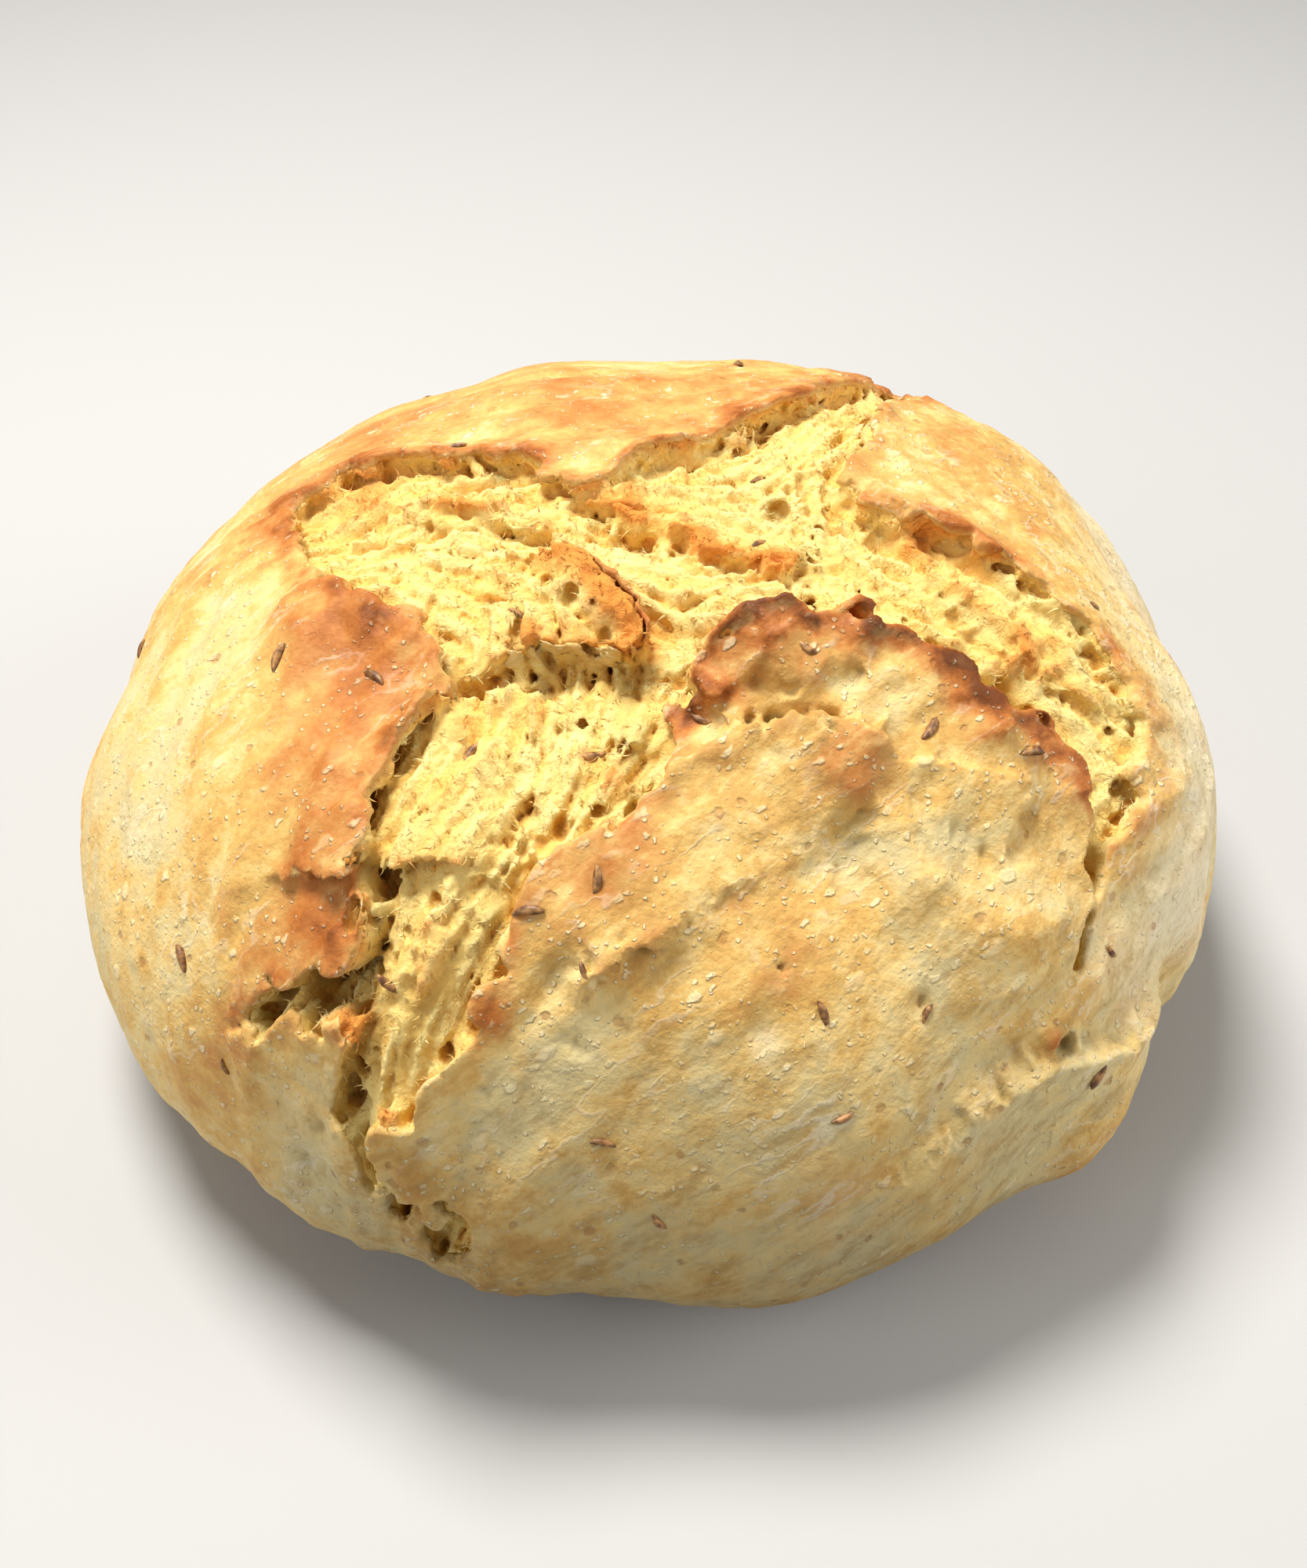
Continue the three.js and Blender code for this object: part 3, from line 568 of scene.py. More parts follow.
# Crumb is torn, spongy and full of bubbles: the solid's surface is roughened where it isn't crust.
for slab in range(0, solid.shape[0], 24):
    part = solid[slab:slab + 24]
    chosen = np.argwhere(part < deepest * 0.99)
    places = (chosen + low + [slab, 0, 0]) * voxel
    kept = (places[:, 2] > 4) & (places[:, 1] < 75)
    chosen, places = chosen[kept], places[kept]
    if len(places) == 0:
        continue
    here = study(places)
    near = here["tuck"] < 2
    chosen, places = chosen[near], places[near]
    if len(places) == 0:
        continue
    here = {name: value[near] for name, value in here.items()}
    index = (chosen[:, 0], chosen[:, 1], chosen[:, 2])
    value = part[index]
    tuck[slab:slab + 24][index] = here["tuck"]
    surface = np.abs(value) < deepest * 0.99
    index, places, value = tuple(k[surface] for k in index), places[surface], value[surface]
    rough = smooth(np.clip((here["depth"][surface] - 0.5) / 2.2, 0, 1))
    right, back = here["right"][surface], here["back"][surface]
    bumps = 0.3 * cloud(places, 8.5) + 0.3 * (0.3 - np.abs(cloud(places, 5.2, 9.3)))
    bumps += 0.6 * (np.abs(cloud(places, 2.6, 5.1)) - 0.3) + 0.3 * cloud(places, 1.25, 2.7)
    bumps -= 0.45 * lookUp("strands", right, back) + 0.3 * lookUp("fine", right, back)
    part[index] = value + rough * bumps

print("bubbles")
crumbBubbles = {"asked": 620, "smallest": 0.3, "range": 1.1, "clumped": 0.5}
bubbles = random.uniform(-1, 1, (crumbBubbles["asked"], 3))
right = 4 + 84 * bubbles[:, 0]
back = -35 + 92 * bubbles[:, 1]
inCrumb = lookUp("edge", right, back) < 1.5
right, back = right[inCrumb], back[inCrumb]
size = crumbBubbles["smallest"] + crumbBubbles["range"] * random.random(len(right)) ** 4
clumps = cloud(np.stack([right, back, 0 * back], axis=-1), 9, 3.3)
size = size * (1 + crumbBubbles["clumped"] * clumps)
sunk = lookUp("crumb", right, back) - size * random.uniform(-0.1, 0.9, len(size))
way = directionsOf(right, back)
centres = way * (plainRadius(way) + sunk)[:, None] + np.array([0, 0, plainLoaf["widestAt"]])
stretch = 1.2 + 1.6 * random.random(len(size))
for centre, radius, long, tall in zip(centres, size, stretch, random.uniform(0.7, 1.2, len(size))):
    spread = radius * long + voxel
    first = np.maximum(np.floor((centre - spread) / voxel).astype(int) - low, 0)
    last = np.minimum(np.ceil((centre + spread) / voxel).astype(int) - low + 1, solid.shape)
    if np.any(last <= first):
        continue
    block = tuple(slice(a, b) for a, b in zip(first, last))
    x, y, z = np.ogrid[block]
    x, y, z = [(k + start) * voxel - c for k, start, c in zip((x, y, z), low, centre)]
    distance = np.sqrt((x / tall) ** 2 + (y / long) ** 2 + z ** 2)
    solid[block] = np.maximum(solid[block], radius - distance)
print("bubbles made", len(size))


# How enclosed each point is: near 0 on a sharp ridge, 0.5 on a flat face, near 1 deep in a pocket.
def enclosureOf(reach):
    coarse = 2
    filled = (solid[::coarse, ::coarse, ::coarse] < 0).astype(np.float32)
    half = max(1, int(round(reach / (voxel * coarse) / 1.7)))
    for _ in range(3):
        for side in range(3):
            padded = np.concatenate([np.repeat(np.take(filled, [0], side), half + 1, side), filled,
                                     np.repeat(np.take(filled, [-1], side), half, side)], axis=side)
            summed = np.cumsum(padded, axis=side, dtype=np.float32)
            length = filled.shape[side]
            filled = (np.take(summed, range(2 * half + 1, 2 * half + 1 + length), side)
                      - np.take(summed, range(0, length), side)) / (2 * half + 1)

    def at(points):
        place = np.clip((points / voxel - low) / coarse, 0, np.array(filled.shape) - 1.001)
        corner = place.astype(np.int32)
        part = place - corner
        value = 0
        for ax in (0, 1):
            for ay in (0, 1):
                for az in (0, 1):
                    weight = (np.abs(1 - ax - part[:, 0]) * np.abs(1 - ay - part[:, 1])
                              * np.abs(1 - az - part[:, 2]))
                    value = value + weight * filled[corner[:, 0] + ax, corner[:, 1] + ay, corner[:, 2] + az]
        return value
    return at


enclosedNear, enclosedFar = enclosureOf(2.2), enclosureOf(7)


# How far inside or outside the loaf a point is, in millimetres.
def insetOf(points):
    place = np.clip(np.round(points / voxel - low).astype(int), 0, np.array(solid.shape) - 1)
    return solid[place[:, 0], place[:, 1], place[:, 2]]


def surfaceOf(values):
    grid = openvdb.FloatGrid(deepest)
    grid.transform = transform
    grid.gridClass = openvdb.GridClass.LEVEL_SET
    grid.copyFromArray(np.ascontiguousarray(values), ijk=tuple(int(k) for k in low))
    points, triangles, quads = grid.convertToPolygons(isovalue=0.0, adaptivity=0.0)
    split = np.concatenate([quads[:, [0, 2, 1]], quads[:, [0, 3, 2]], triangles[:, ::-1]])
    return points.astype(np.float64), split.astype(np.int32)


def makeMesh(name, points, faces):
    mesh = bpy.data.meshes.new(name)
    mesh.vertices.add(len(points))
    mesh.vertices.foreach_set("co", ((points - shift) * millimetre).ravel())
    mesh.loops.add(faces.size)
    mesh.loops.foreach_set("vertex_index", faces.ravel())
    mesh.polygons.add(len(faces))
    mesh.polygons.foreach_set("loop_start", np.arange(0, faces.size, faces.shape[1]))
    mesh.update(calc_edges=True)
    mesh.validate()
    return mesh


def addObject(name, data):
    made = bpy.data.objects.new(name, data)
    bpy.context.scene.collection.objects.link(made)
    return made


# Closed bubbles and loose specks don't show or hang in the air, so only the large shells are kept.
def dropIslands(mesh, fewest):
    a, b = readFrom(mesh.edges, "vertices", 2, np.int32).T
    label = np.arange(len(mesh.vertices))
    while True:
        lowest = np.minimum(label[a], label[b])
        joined = label.copy()
        np.minimum.at(joined, label[a], lowest)
        np.minimum.at(joined, label[b], lowest)
        joined = joined[joined]
        if np.array_equal(joined, label):
            break
        label = joined
    small = np.bincount(label, minlength=len(label))[label] < fewest
    print(mesh.name, "islands", len(np.unique(label)), "points dropped", int(small.sum()))
    shell = bmesh.new()
    shell.from_mesh(mesh)
    shell.verts.ensure_lookup_table()
    specks = [shell.verts[number] for number in np.flatnonzero(small)]
    bmesh.ops.delete(shell, geom=specks, context="VERTS")
    shell.to_mesh(mesh)
    shell.free()


def applyModifiers(made):
    graph = bpy.context.evaluated_depsgraph_get()
    mesh = bpy.data.meshes.new_from_object(made.evaluated_get(graph))
    made.modifiers.clear()
    made.data = mesh


skinMesh = {"mostFaces": 196000, "fewestPoints": 400}


def lightened(made):
    count = len(made.data.polygons)
    if count > skinMesh["mostFaces"]:
        modifier = made.modifiers.new("lighten", "DECIMATE")
        modifier.ratio = skinMesh["mostFaces"] / count
        applyModifiers(made)
    dropIslands(made.data, skinMesh["fewestPoints"])
    made.data.polygons.foreach_set("use_smooth", [True] * len(made.data.polygons))
    return made


def paintFields(made):
    mesh = made.data
    points = readFrom(mesh.vertices, "co", 3) / millimetre + shift
    here = study(points)
    right, back = here["right"], here["back"]
    near, far = enclosedNear(points), enclosedFar(points)
    lip = lookUp("brown", right, back) * np.exp(-np.abs(here["edge"]) / 4.0)
    fields = {
        "crumbShare": smooth(np.clip((here["depth"] - 0.35) / 0.9, 0, 1)) * (points[:, 2] > 6),
        "toast": lookUp("toast", right, back),
        "lipBrown": lip,
        "flour": lookUp("flour", right, back),
        "ridge": np.clip((0.5 - near) * 4, 0, 1),
        "hollow": np.clip((near - 0.5) * 3, 0, 1),
        "pocket": np.clip((far - 0.5) * 3, 0, 1),
        "peak": np.clip((0.5 - far) * 4, 0, 1),
        "strand": lookUp("strands", right, back),
        "shown": (np.abs(insetOf(points)) < 0.8) * (here["depth"] > 1.2) * (here["tuck"] < -0.3)
        * np.clip(0.45 + 3.5 * (0.5 - near) + 0.5 * cloud(points, 6, 4.4), 0, 1),
        "wrinkle": lookUp("wrinkles", right, back),
    }
    for name, values in fields.items():
        layer = mesh.attributes.new(name, "FLOAT", "POINT")
        layer.data.foreach_set("value", values.astype(np.float32))
    print(made.name, len(mesh.vertices), "points", len(mesh.polygons), "faces")


def placePiece(made):
    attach(made, "root")
    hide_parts("loaf")


print("crust and crumb surfaces")
crustPoints, crustFaces = surfaceOf(np.maximum(solid, -(tuck + 0.6)))
crumbPoints, crumbFaces = surfaceOf(np.maximum(solid + 0.15 * np.clip(tuck + 1.2, 0, 1), tuck))
print("raw faces", len(crustFaces), len(crumbFaces))
crustPiece = lightened(addObject("loafCrust", makeMesh("loafCrust", crustPoints, crustFaces)))
crumbPiece = lightened(addObject("loafCrumb", makeMesh("loafCrumb", crumbPoints, crumbFaces)))
for piece in (crustPiece, crumbPiece):
    paintFields(piece)
    placePiece(piece)


# Materials. A Paint wraps a socket, and arithmetic on it adds Math nodes.
class Paint:
    def __init__(self, tree, socket=None):
        self.tree, self.socket = tree, socket

    def plug(self, slot, value):
        if isinstance(value, Paint):
            self.tree.links.new(value.socket, slot)
        else:
            slot.default_value = value

    def node(self, kind, settings=None, inputs=None, output=0):
        made = self.tree.nodes.new(kind)
        for name, value in (settings or {}).items():
            if name == "stops":
                made.color_ramp.elements.remove(made.color_ramp.elements[0])
                for number, (position, colour) in enumerate(value):
                    stop = (made.color_ramp.elements[0] if number == 0
                            else made.color_ramp.elements.new(position))
                    stop.position, stop.color = position, colour
            else:
                setattr(made, name, value)
        for name, value in (inputs or {}).items():
            self.plug(made.inputs[name], value)
        return Paint(self.tree, made.outputs[output])

    def sum(self, operation, first, second=0.0, third=0.0):
        return self.node("ShaderNodeMath", {"operation": operation}, {0: first, 1: second, 2: third})

    def __add__(self, other):
        return self.sum("ADD", self, other)

    __radd__ = __add__

    def __mul__(self, other):
        return self.sum("MULTIPLY", self, other)

    __rmul__ = __mul__

    def __sub__(self, other):
        return self.sum("SUBTRACT", self, other)

    def __rsub__(self, other):
        return self.sum("SUBTRACT", other, self)

    def __pow__(self, other):
        return self.sum("POWER", self, other)

    def between(self, start, end):
        return self.node("ShaderNodeMapRange", {"interpolation_type": "SMOOTHSTEP"},
                         {"Value": self, "From Min": start, "From Max": end})

    def value(self, name):
        return self.node("ShaderNodeAttribute", {"attribute_name": name}, output="Fac")

    def place(self):
        return self.node("ShaderNodeTexCoord", output="Object")

    def cloud(self, place, size, detail=2.0):
        return self.node("ShaderNodeTexNoise", {}, {
            "Vector": place, "Scale": 1 / (size * millimetre), "Detail": detail, "Roughness": 0.55})

    def cells(self, place, size, feature="F1", output="Distance"):
        return self.node("ShaderNodeTexVoronoi", {"feature": feature}, {
            "Vector": place, "Scale": 1 / (size * millimetre)}, output)

    # Round specks of a given spacing: how much of a cell one fills, and what part of the cells has one.
    def speckles(self, place, spacing, fill, part):
        drawn = self.cells(place, spacing, output="Color")
        pick = self.node("ShaderNodeSeparateColor", {}, {0: drawn}, "Red")
        reach = pick * fill * 2.2
        size = self.node("ShaderNodeMapRange", {"interpolation_type": "SMOOTHSTEP"}, {
            "Value": self.cells(place, spacing), "From Min": reach * 0.5, "From Max": reach,
            "To Min": 1.0, "To Max": 0.0})
        return size * pick.between(1 - part, 1.02 - part)

    def blend(self, first, second, share):
        return self.node("ShaderNodeMix", {"data_type": "RGBA"}, {0: share, 6: first, 7: second}, 2)

    def shade(self, colour, amount):
        return self.node("ShaderNodeMix", {"data_type": "RGBA", "blend_type": "MULTIPLY"},
                         {0: 1.0, 6: colour, 7: self.node("ShaderNodeCombineColor", {}, {
                             "Red": amount, "Green": amount, "Blue": amount})}, 2)

    # For Geometry Nodes: an input of the tree, an attribute of the mesh, a point and a random size.
    def asked(self, name):
        return self.node("NodeGroupInput", {}, {}, name)

    def attribute(self, name, kind="FLOAT"):
        return self.node("GeometryNodeInputNamedAttribute", {"data_type": kind}, {"Name": name},
                         "Attribute")

    def point(self, x, y=0.0, z=0.0):
        return self.node("ShaderNodeCombineXYZ", {}, {0: x, 1: y, 2: z})

    def randomSize(self, smallest, largest):
        return self.node("FunctionNodeRandomValue", {"data_type": "FLOAT"}, {
            2: smallest, 3: largest, "Seed": self.asked("Random Seed")}, 1)


# A colour as it shows on a screen, 11 to 255, in the linear numbers that a shader takes.
def tone(red, green, blue):
    return (*(((c / 255 + 0.055) / 1.055) ** 2.4 for c in (red, green, blue)), 1.0)


def newMaterial(name):
    material = bpy.data.materials.new(name)
    material.use_nodes = True
    shader = material.node_tree.nodes["Principled BSDF"]
    return material, Paint(material.node_tree), shader


# Bread lets a little light in, and hardly shines.
def soften(shader, share, green, blue, depth):
    shader.inputs["Specular IOR Level"].default_value = 0.25
    shader.inputs["Subsurface Weight"].default_value = share
    shader.inputs["Subsurface Radius"].default_value = (1.0, green, blue)
    shader.inputs["Subsurface Scale"].default_value = depth * millimetre


crustLook = {
    "stops": [[0.0, (224, 206, 152)], [0.13, (236, 204, 134)], [0.24, (226, 182, 102)],
              [0.42, (208, 150, 80)], [0.6, (194, 120, 54)], [0.8, (164, 92, 34)], [1.0, (118, 62, 20)]],
    "flour": (246, 236, 212),
    "speck": (252, 236, 190),
    "spot": (176, 122, 66),
    "dull": (184, 146, 80),
    "bright": (250, 222, 150),
    "foot": (120, 74, 34),
    "streakTurn": (0.0, -0.51, 0.41),
    "crumbEdge": (246, 216, 140),
}
crumbLook = {
    # painted highlight on the crumb's ridges and strands:
    "tipHighlight": (252, 228, 152),
    "pale": (246, 210, 122),
    # painted shade in the crumb's hollows, then in its deepest pockets:
    "shadeAndGrain": (255, 198, 94),
    "caveShade": (160, 96, 38),
    "gold": (255, 208, 112),
    "toast": (232, 154, 70),
}


def crustMaterial():
    material, paint, shader = newMaterial("bakedCrust")
    place = paint.place()
    wide, fine = paint.cloud(place, 22, 3), paint.cloud(place, 5, 4)
    grain = paint.cloud(place, 0.9, 3)
    toast, lip = paint.value("toast"), paint.value("lipBrown")
    hollow, ridge = paint.value("hollow"), paint.value("ridge")
    side, front, height = (paint.node("ShaderNodeSeparateXYZ", {}, {0: place}, axis) for axis in "XYZ")
    foot = 1 - (height + fine * 0.012).between(0.004, 0.026)
    baked = 0.12 + 0.42 * toast + 0.55 * lip * (0.1 + 2.0 * fine) + 0.7 * (wide - 0.5) + 0.6 * (fine - 0.5)
    baked = baked + foot * 0.3 + 0.06 * paint.value("wrinkle") + 0.14 * ridge * toast + 0.25 * (grain - 0.5)
    colour = paint.node("ShaderNodeValToRGB", {"stops": [
        (position, tone(*shade)) for position, shade in crustLook["stops"]]}, {0: baked})
    bent = paint.node("ShaderNodeVectorMath", {"operation": "MULTIPLY_ADD"}, {
        0: paint.node("ShaderNodeTexNoise", {}, {"Vector": place, "Scale": 700, "Detail": 2.0}, "Color"),
        1: (0.0012, 0.0012, 0.0012), 2: place})
    drawn = paint.node("ShaderNodeMapping", {"vector_type": "TEXTURE"}, {
        "Vector": bent, "Rotation": crustLook["streakTurn"], "Scale": (3.6, 1.0, 1.0)})
    stretched = paint.node("ShaderNodeMapping", {"vector_type": "TEXTURE"}, {
        "Vector": bent, "Rotation": crustLook["streakTurn"], "Scale": (1.9, 1.0, 1.0)})
    streaks = 0.6 * paint.cloud(drawn, 3.4, 3) + 0.4 * paint.cloud(drawn, 1.1, 3)
    streaky = (0.2 + 0.4 * (side - front * 0.6).between(-0.03, 0.03)) * (1 - baked.between(0.3, 0.7))
    colour = paint.blend(colour, tone(*crustLook["dull"]), (0.54 - streaks).between(0.0, 0.2) * streaky)
    colour = paint.blend(colour, tone(*crustLook["bright"]), (streaks - 0.5).between(0.0, 0.2) * streaky)
    clean = 1 - baked.between(0.35, 0.8)
    dust = paint.value("flour") * (0.45 + 0.5 * fine + 0.9 * (streaks - 0.4)) + 0.5 * (grain - 0.5)
    colour = paint.blend(colour, tone(*crustLook["flour"]), dust.between(0.2, 0.9) * clean * 0.75)
    veins = 1 - paint.sum("ABSOLUTE", paint.cloud(drawn, 6, 2) - 0.5).between(0.004, 0.03)
    veins = veins * paint.cloud(place, 14, 2).between(0.45, 0.62) * clean
    colour = paint.blend(colour, tone(*crustLook["flour"]), veins * (0.25 + 0.5 * paint.value("flour")))
    specks = paint.speckles(stretched, 2.3, 0.15, 0.5) + paint.speckles(bent, 1.2, 0.18, 0.5)
    specks = specks + 0.7 * paint.speckles(stretched, 4.6, 0.14, 0.3)
    specks = specks * paint.cloud(place, 9, 2).between(0.3, 0.55)
    colour = paint.blend(colour, tone(*crustLook["speck"]), specks * (0.3 + 0.35 * clean))
    spots = paint.speckles(bent, 4.3, 0.12, 0.4)
    colour = paint.blend(colour, tone(*crustLook["spot"]), spots * 0.5)
    share = paint.value("crumbShare")
    colour = paint.blend(colour, tone(*crustLook["crumbEdge"]), share * (0.85 - 0.7 * lip))
    colour = paint.blend(colour, tone(*crustLook["foot"]), foot * foot * 0.75)
    # Painted shade: the crust is darkened low on its front, a little on its top against the strong light
    # from above, and in its hollows.
    turned = -1 * front - 0.7 * paint.sum("ABSOLUTE", side)
    shaded = (1 - height.between(0.006, 0.075)) * turned.between(0.0, 0.075)
    high = height.between(0.03, 0.09)
    colour = paint.shade(colour, 0.86 - 0.07 * high - 0.3 * hollow * hollow - 0.48 * shaded)
    paint.plug(shader.inputs["Base Color"], colour)
    paint.plug(shader.inputs["Roughness"], 0.66 - 0.06 * baked + 0.2 * dust.between(0.25, 0.95))
    relief = 0.3 * grain + 0.5 * specks - 0.3 * spots + 0.6 * streaks * streaky + 0.1 * veins
    relief = relief + 0.4 * paint.cloud(bent, 2.2, 4)
    bump = paint.node("ShaderNodeBump", {}, {"Strength": 0.7, "Distance": 0.001, "Height": relief})
    paint.plug(shader.inputs["Normal"], bump)
    soften(shader, 0.08, 0.55, 0.25, 2.5)
    return material


def crumbMaterial():
    material, paint, shader = newMaterial("tornCrumb")
    place = paint.place()
    fine = paint.cloud(place, 6, 3)
    bent = paint.node("ShaderNodeVectorMath", {"operation": "MULTIPLY_ADD"}, {
        0: paint.node("ShaderNodeTexNoise", {}, {"Vector": place, "Scale": 420, "Detail": 2.0}, "Color"),
        1: (0.004, 0.004, 0.004), 2: place})
    grain = paint.node("ShaderNodeTexNoise", {}, {
        "Vector": bent, "Scale": 1 / (1.1 * millimetre), "Detail": 6.0, "Roughness": 0.74})
    pores = (0.5 - paint.cells(bent, 1.7)).between(-0.05, 0.4)
    pores = pores + 0.7 * (0.5 - paint.cells(bent, 0.8)).between(0.0, 0.4)
    pores = pores * paint.cloud(place, 4, 2).between(0.3, 0.6)
    pocket, hollow, ridge = paint.value("pocket"), paint.value("hollow"), paint.value("ridge")
    strand, peak = paint.value("strand"), paint.value("peak")
    # Painted shade: the crumb turns a deeper gold and then dark brown in pockets, hollows and pores, mixed
    # with random grain.
    shadeAndGrain = 0.55 * pocket + 0.5 * hollow + 0.6 * (fine - 0.5) + 0.9 * (0.5 - grain) - 0.16 * strand - 0.22
    shadeAndGrain = shadeAndGrain + 0.3 * pores
    colour = paint.blend(tone(*crumbLook["pale"]), tone(*crumbLook["shadeAndGrain"]), shadeAndGrain.between(0.05, 0.7))
    colour = paint.blend(colour, tone(*crumbLook["caveShade"]), shadeAndGrain.between(0.35, 1.0))
    baked = paint.value("toast") + 0.35 * paint.value("lipBrown")
    baked = baked + 1.3 * (fine - 0.5) + 0.3 * ridge + 0.5 * peak
    golden = (baked + 0.5 * (grain - 0.5)).between(-0.1, 0.6) * 0.7
    colour = paint.blend(colour, tone(*crumbLook["gold"]), golden)
    # Painted highlight: ridges and strands of crumb are lightened, mixed with random grain.
    tipHighlights = 0.5 * grain + 0.2 * strand + 0.3 * ridge - 0.2 * baked
    colour = paint.blend(colour, tone(*crumbLook["tipHighlight"]), tipHighlights.between(0.1, 0.5))
    browned = (baked + 0.9 * (grain - 0.5)).between(0.35, 1.15)
    colour = paint.blend(colour, tone(*crumbLook["toast"]), browned)
    paint.plug(shader.inputs["Base Color"], colour)
    bump = paint.node("ShaderNodeBump", {}, {
        "Strength": 0.8, "Distance": 0.001, "Height": grain - 0.4 * pores})
    paint.plug(shader.inputs["Normal"], bump)
    shader.inputs["Roughness"].default_value = 0.8
    soften(shader, 0.15, 0.6, 0.2, 3.5)
    return material


def seedMaterial():
    material, paint, shader = newMaterial("carawaySeed")
    place = paint.place()
    streak = paint.cloud(place, 1.2, 3)
    colour = paint.blend(tone(92, 56, 28), tone(182, 134, 78), streak.between(0.35, 0.7))
    paint.plug(shader.inputs["Base Color"], colour)
    shader.inputs["Roughness"].default_value = 0.5
    return material


print("materials")
crustPiece.data.materials.append(crustMaterial())
crumbPiece.data.materials.append(crumbMaterial())

# Caraway seeds lie where the solid part has them: the first ones are seen, the rest spread by turns.
carawaySeed = {
    "length": 4.6, "width": 1.5, "bend": 0.9, "sunk": 0.36, "scattered": 14,
    "shown": [[-17, -79], [-37, -84], [-74, -71], [-28, -58], [-10, -60], [-22, -36], [-29, -15], [40, -52],
              [55, -51], [8, -55], [24, -90], [41, -88], [28, -101], [-8, -107], [1, -117], [-8, -76],
              [20, -14], [30, -25], [-43, -43], [74, -87]],
}


def buildTree(name, sockets):
    tree = bpy.data.node_groups.new(name, "GeometryNodeTree")
    tree.interface.new_socket("Geometry", in_out="INPUT", socket_type="NodeSocketGeometry")
    tree.interface.new_socket("Geometry", in_out="OUTPUT", socket_type="NodeSocketGeometry")
    for label, kind in sockets.items():
        tree.interface.new_socket(label, in_out="INPUT", socket_type="NodeSocket" + kind)
    return tree, Paint(tree)


# The end of a tree: one shape laid at each point, made real and given its material.
def endTree(tree, paint, points, shape, turn, size, material):
    laid = paint.node("GeometryNodeInstanceOnPoints", {}, {
        "Points": points, "Instance": shape, "Rotation": turn, "Scale": size})
    laid = paint.node("GeometryNodeRealizeInstances", {}, {"Geometry": laid})
    laid = paint.node("GeometryNodeSetMaterial", {}, {"Geometry": laid, "Material": paint.asked(material)})
    paint.plug(tree.nodes.new("NodeGroupOutput").inputs["Geometry"], laid)
    return tree


def runTree(made, tree, values):
    modifier = made.modifiers.new(tree.name, "NODES")
    modifier.node_group = tree
    for item in tree.interface.items_tree:
        if item.in_out == "INPUT" and item.name in values:
            modifier[item.identifier] = values[item.name]
    applyModifiers(made)
    return made


def seedTree():
    tree, paint = buildTree("laySeeds", {
        "Seed Length": "Float", "Seed Width": "Float", "Seed Bend": "Float", "Random Seed": "Int",
        "Seed Material": "Material"})
    half, bend = paint.asked("Seed Length") * 0.5, paint.asked("Seed Bend")
    spine = paint.node("GeometryNodeCurveQuadraticBezier", {}, {
        "Resolution": 9, "Start": paint.point(half * -1), "Middle": paint.point(0.0, bend),
        "End": paint.point(half)})
    along = paint.node("GeometryNodeSplineParameter", {}, {}, "Factor")
    plump = paint.sum("SINE", (along * 0.94 + 0.03) * math.pi) ** 0.62
    width = paint.asked("Seed Width")
    ribs = paint.node("GeometryNodeCurveStar", {}, {
        "Points": 5, "Inner Radius": width * 0.38, "Outer Radius": width * 0.52}, "Curve")
    seed = paint.node("GeometryNodeCurveToMesh", {}, {
        "Curve": spine, "Profile Curve": ribs, "Scale": plump, "Fill Caps": True})
    turn = paint.node("FunctionNodeAlignRotationToVector", {"axis": "Z"},
                      {"Vector": paint.attribute("facing", "FLOAT_VECTOR")})
    turn = paint.node("FunctionNodeRotateRotation", {"rotation_space": "LOCAL"}, {
        "Rotation": turn, "Rotate By": paint.node("FunctionNodeAxisAngleToRotation", {}, {
            "Axis": (0, 0, 1), "Angle": paint.attribute("spin")})})
    return endTree(tree, paint, paint.asked("Geometry"), seed, turn, paint.randomSize(0.55, 0.98),
                   "Seed Material")


# Wisps of crumb stand up where the loaf tore.
crumbWisp = {"length": 1.5, "width": 0.36, "bend": 0.6, "perSquareMillimetre": 0.6}


def wispTree():
    tree, paint = buildTree("raiseWisps", {
        "Wisp Length": "Float", "Wisp Width": "Float", "Wisp Bend": "Float", "Density": "Float",
        "Random Seed": "Int", "Wisp Material": "Material"})
    spread = paint.node("GeometryNodeDistributePointsOnFaces", {}, {
        "Mesh": paint.asked("Geometry"), "Density": paint.asked("Density") * paint.attribute("shown"),
        "Seed": paint.asked("Random Seed")}, "Points")
    facing = Paint(tree, spread.socket.node.outputs["Normal"])
    lean = paint.node("FunctionNodeRandomValue", {"data_type": "FLOAT_VECTOR"}, {
        0: (-2.0, -2.0, -1.4), 1: (2.0, 2.0, 2.0), "Seed": paint.asked("Random Seed")}, 0)
    facing = paint.node("ShaderNodeVectorMath", {"operation": "ADD"}, {0: facing, 1: lean})
    turn = paint.node("FunctionNodeAlignRotationToVector", {"axis": "Z"}, {"Vector": facing})
    length, width = paint.asked("Wisp Length"), paint.asked("Wisp Width")
    spine = paint.node("GeometryNodeCurveQuadraticBezier", {}, {
        "Resolution": 3, "Start": paint.point(0.0, 0.0, length * -0.25),
        "Middle": paint.point(paint.asked("Wisp Bend"), 0.0, length * 0.4),
        "End": paint.point(0.0, 0.0, length)})
    along = paint.node("GeometryNodeSplineParameter", {}, {}, "Factor")
    ribbon = paint.node("GeometryNodeCurvePrimitiveQuadrilateral", {"mode": "RECTANGLE"}, {
        "Width": width, "Height": width * 0.4})
    wisp = paint.node("GeometryNodeCurveToMesh", {}, {
        "Curve": spine, "Profile Curve": ribbon, "Scale": 1.03 - along, "Fill Caps": True})
    return endTree(tree, paint, spread, wisp, turn, paint.randomSize(0.35, 1.15), "Wisp Material")


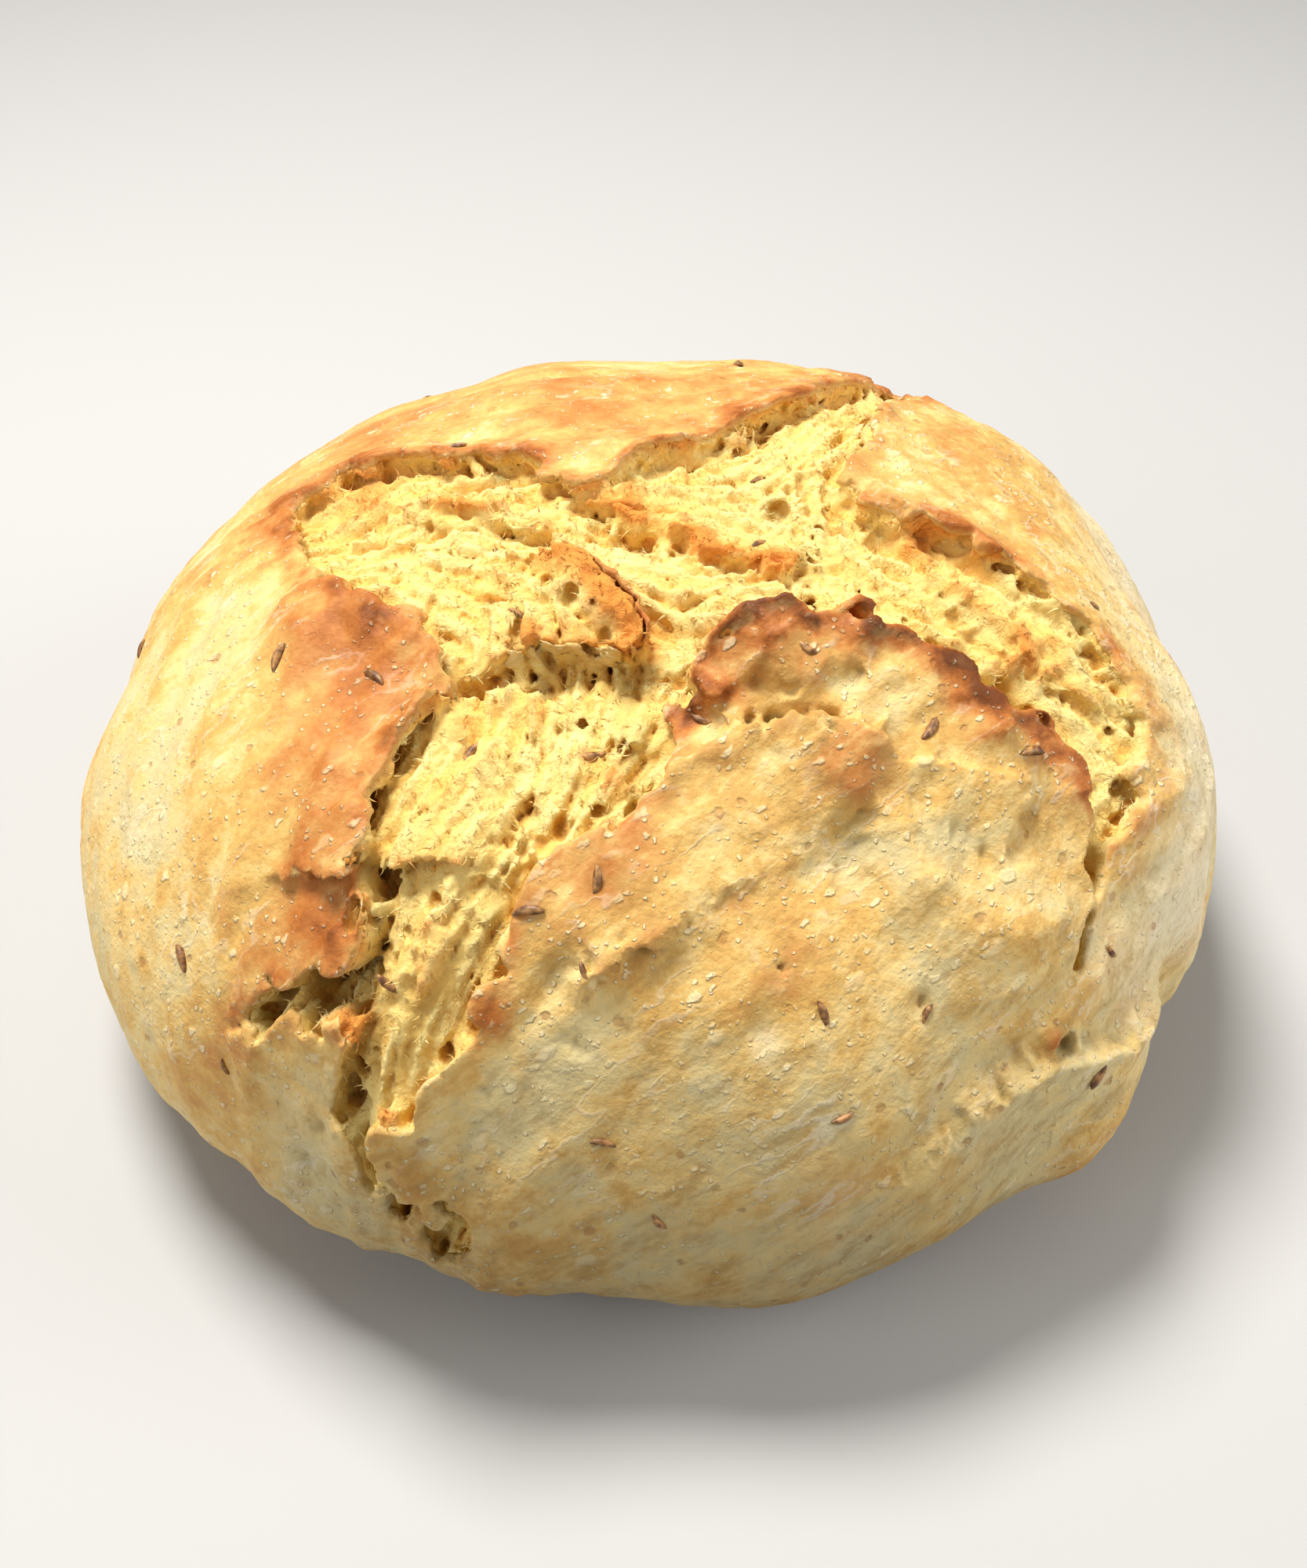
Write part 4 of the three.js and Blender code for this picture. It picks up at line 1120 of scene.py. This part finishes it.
print("crumb wisps")
wispPiece = runTree(addObject("crumbWisps", crumbPiece.data.copy()), wispTree(), {
    "Wisp Length": crumbWisp["length"] * millimetre, "Wisp Width": crumbWisp["width"] * millimetre,
    "Wisp Bend": crumbWisp["bend"] * millimetre, "Density": crumbWisp["perSquareMillimetre"] * 1e6,
    "Random Seed": 5, "Wisp Material": crumbPiece.data.materials[0]})
placePiece(wispPiece)
print("wisps", len(wispPiece.data.polygons))

print("caraway seeds")
surfaces = [BVHTree.FromPolygons(
    [vertex.co.copy() for vertex in piece.data.vertices],
    [tuple(face.vertices) for face in piece.data.polygons]) for piece in (crustPiece, crumbPiece)]
goldenTurn = math.pi * (3 - math.sqrt(5))
seedPlaces = list(carawaySeed["shown"])
for number in range(carawaySeed["scattered"]):
    reach = 118 * math.sqrt((number + 0.5) / carawaySeed["scattered"])
    turn = number * goldenTurn + 0.37
    seedPlaces.append([reach * math.cos(turn), reach * math.sin(turn)])


# The outermost surface in a direction from the loaf's heart: its place and the way it faces.
def onSurface(right, back):
    way = Vector(directionsOf(np.array([float(right)]), np.array([float(back)]))[0])
    heart = Vector((np.array([0, 0, plainLoaf["widestAt"]]) - shift) * millimetre)
    hits = [surface.ray_cast(heart + way * 0.2, -way) for surface in surfaces]
    hits = [hit for hit in hits if hit[0] is not None]
    nearest = min(hits, key=lambda hit: hit[3])
    return nearest[0], (nearest[1] + way * 1.2).normalized()


spots = [onSurface(*place) for place in seedPlaces]
thickness = carawaySeed["width"] * (0.5 - carawaySeed["sunk"]) * 0.6 * millimetre
seedPoints = bpy.data.meshes.new("seedPoints")
seedPoints.from_pydata([spot + facing * thickness for spot, facing in spots], [], [])
facings = seedPoints.attributes.new("facing", "FLOAT_VECTOR", "POINT")
facings.data.foreach_set("vector", [value for _, facing in spots for value in facing])
spins = seedPoints.attributes.new("spin", "FLOAT", "POINT")
spins.data.foreach_set("value", [number * goldenTurn for number in range(len(spots))])
seedPiece = runTree(addObject("carawaySeeds", seedPoints), seedTree(), {
    "Seed Length": carawaySeed["length"] * millimetre, "Seed Width": carawaySeed["width"] * millimetre,
    "Seed Bend": carawaySeed["bend"] * millimetre, "Random Seed": 3, "Seed Material": seedMaterial()})
placePiece(seedPiece)
print("seeds", len(seedPiece.data.polygons))

# Floor, light and camera.
floorMesh = bpy.data.meshes.new("floor")
floorMesh.from_pydata([(-3, -3, 0), (3, -3, 0), (3, 3, 0), (-3, 3, 0)], [], [(0, 1, 2, 3)])
floor = addObject("floor", floorMesh)
floorMaterial, _, floorShader = newMaterial("paleFloor")
floorShader.inputs["Base Color"].default_value = (0.44, 0.44, 0.44, 1)
floorShader.inputs["Roughness"].default_value = 0.8
floor.data.materials.append(floorMaterial)


def aimAt(made, place, aim):
    made.location = place
    made.rotation_euler = (Vector(aim) - Vector(place)).to_track_quat("-Z", "Y").to_euler()


def areaLight(name, place, size, power, colour):
    lamp = bpy.data.lights.new(name, "AREA")
    lamp.shape = "DISK"
    lamp.size = size
    lamp.energy = power
    lamp.color = colour
    aimAt(addObject(name, lamp), place, (0, 0, 0.05))


areaLight("keyLight", (-0.2, 0.2, 0.86), 0.35, 13.0, (1, 0.97, 0.92))
areaLight("leftLight", (-0.6, -0.5, 0.5), 0.6, 2.8, (1, 0.97, 0.93))
areaLight("rightLight", (0.75, -0.15, 0.45), 0.6, 4.3, (1, 0.98, 0.95))

world = bpy.data.worlds.new("softRoom")
world.use_nodes = True
world.node_tree.nodes["Background"].inputs["Color"].default_value = (1, 0.97, 0.93, 1)
world.node_tree.nodes["Background"].inputs["Strength"].default_value = 0.2
bpy.context.scene.world = world

cameraData = bpy.data.cameras.new("photoCamera")
cameraData.lens = 41.2
cameraData.sensor_width = 36
cameraData.clip_start = 0.01
camera = addObject("photoCamera", cameraData)
eye, target = ((np.array(place) - shift) * millimetre for place in ([0, -231.9, 237.8], [0, 0, 29.0]))
aimAt(camera, eye, target)
bpy.context.scene.camera = camera
bpy.context.scene.view_settings.view_transform = "Standard"
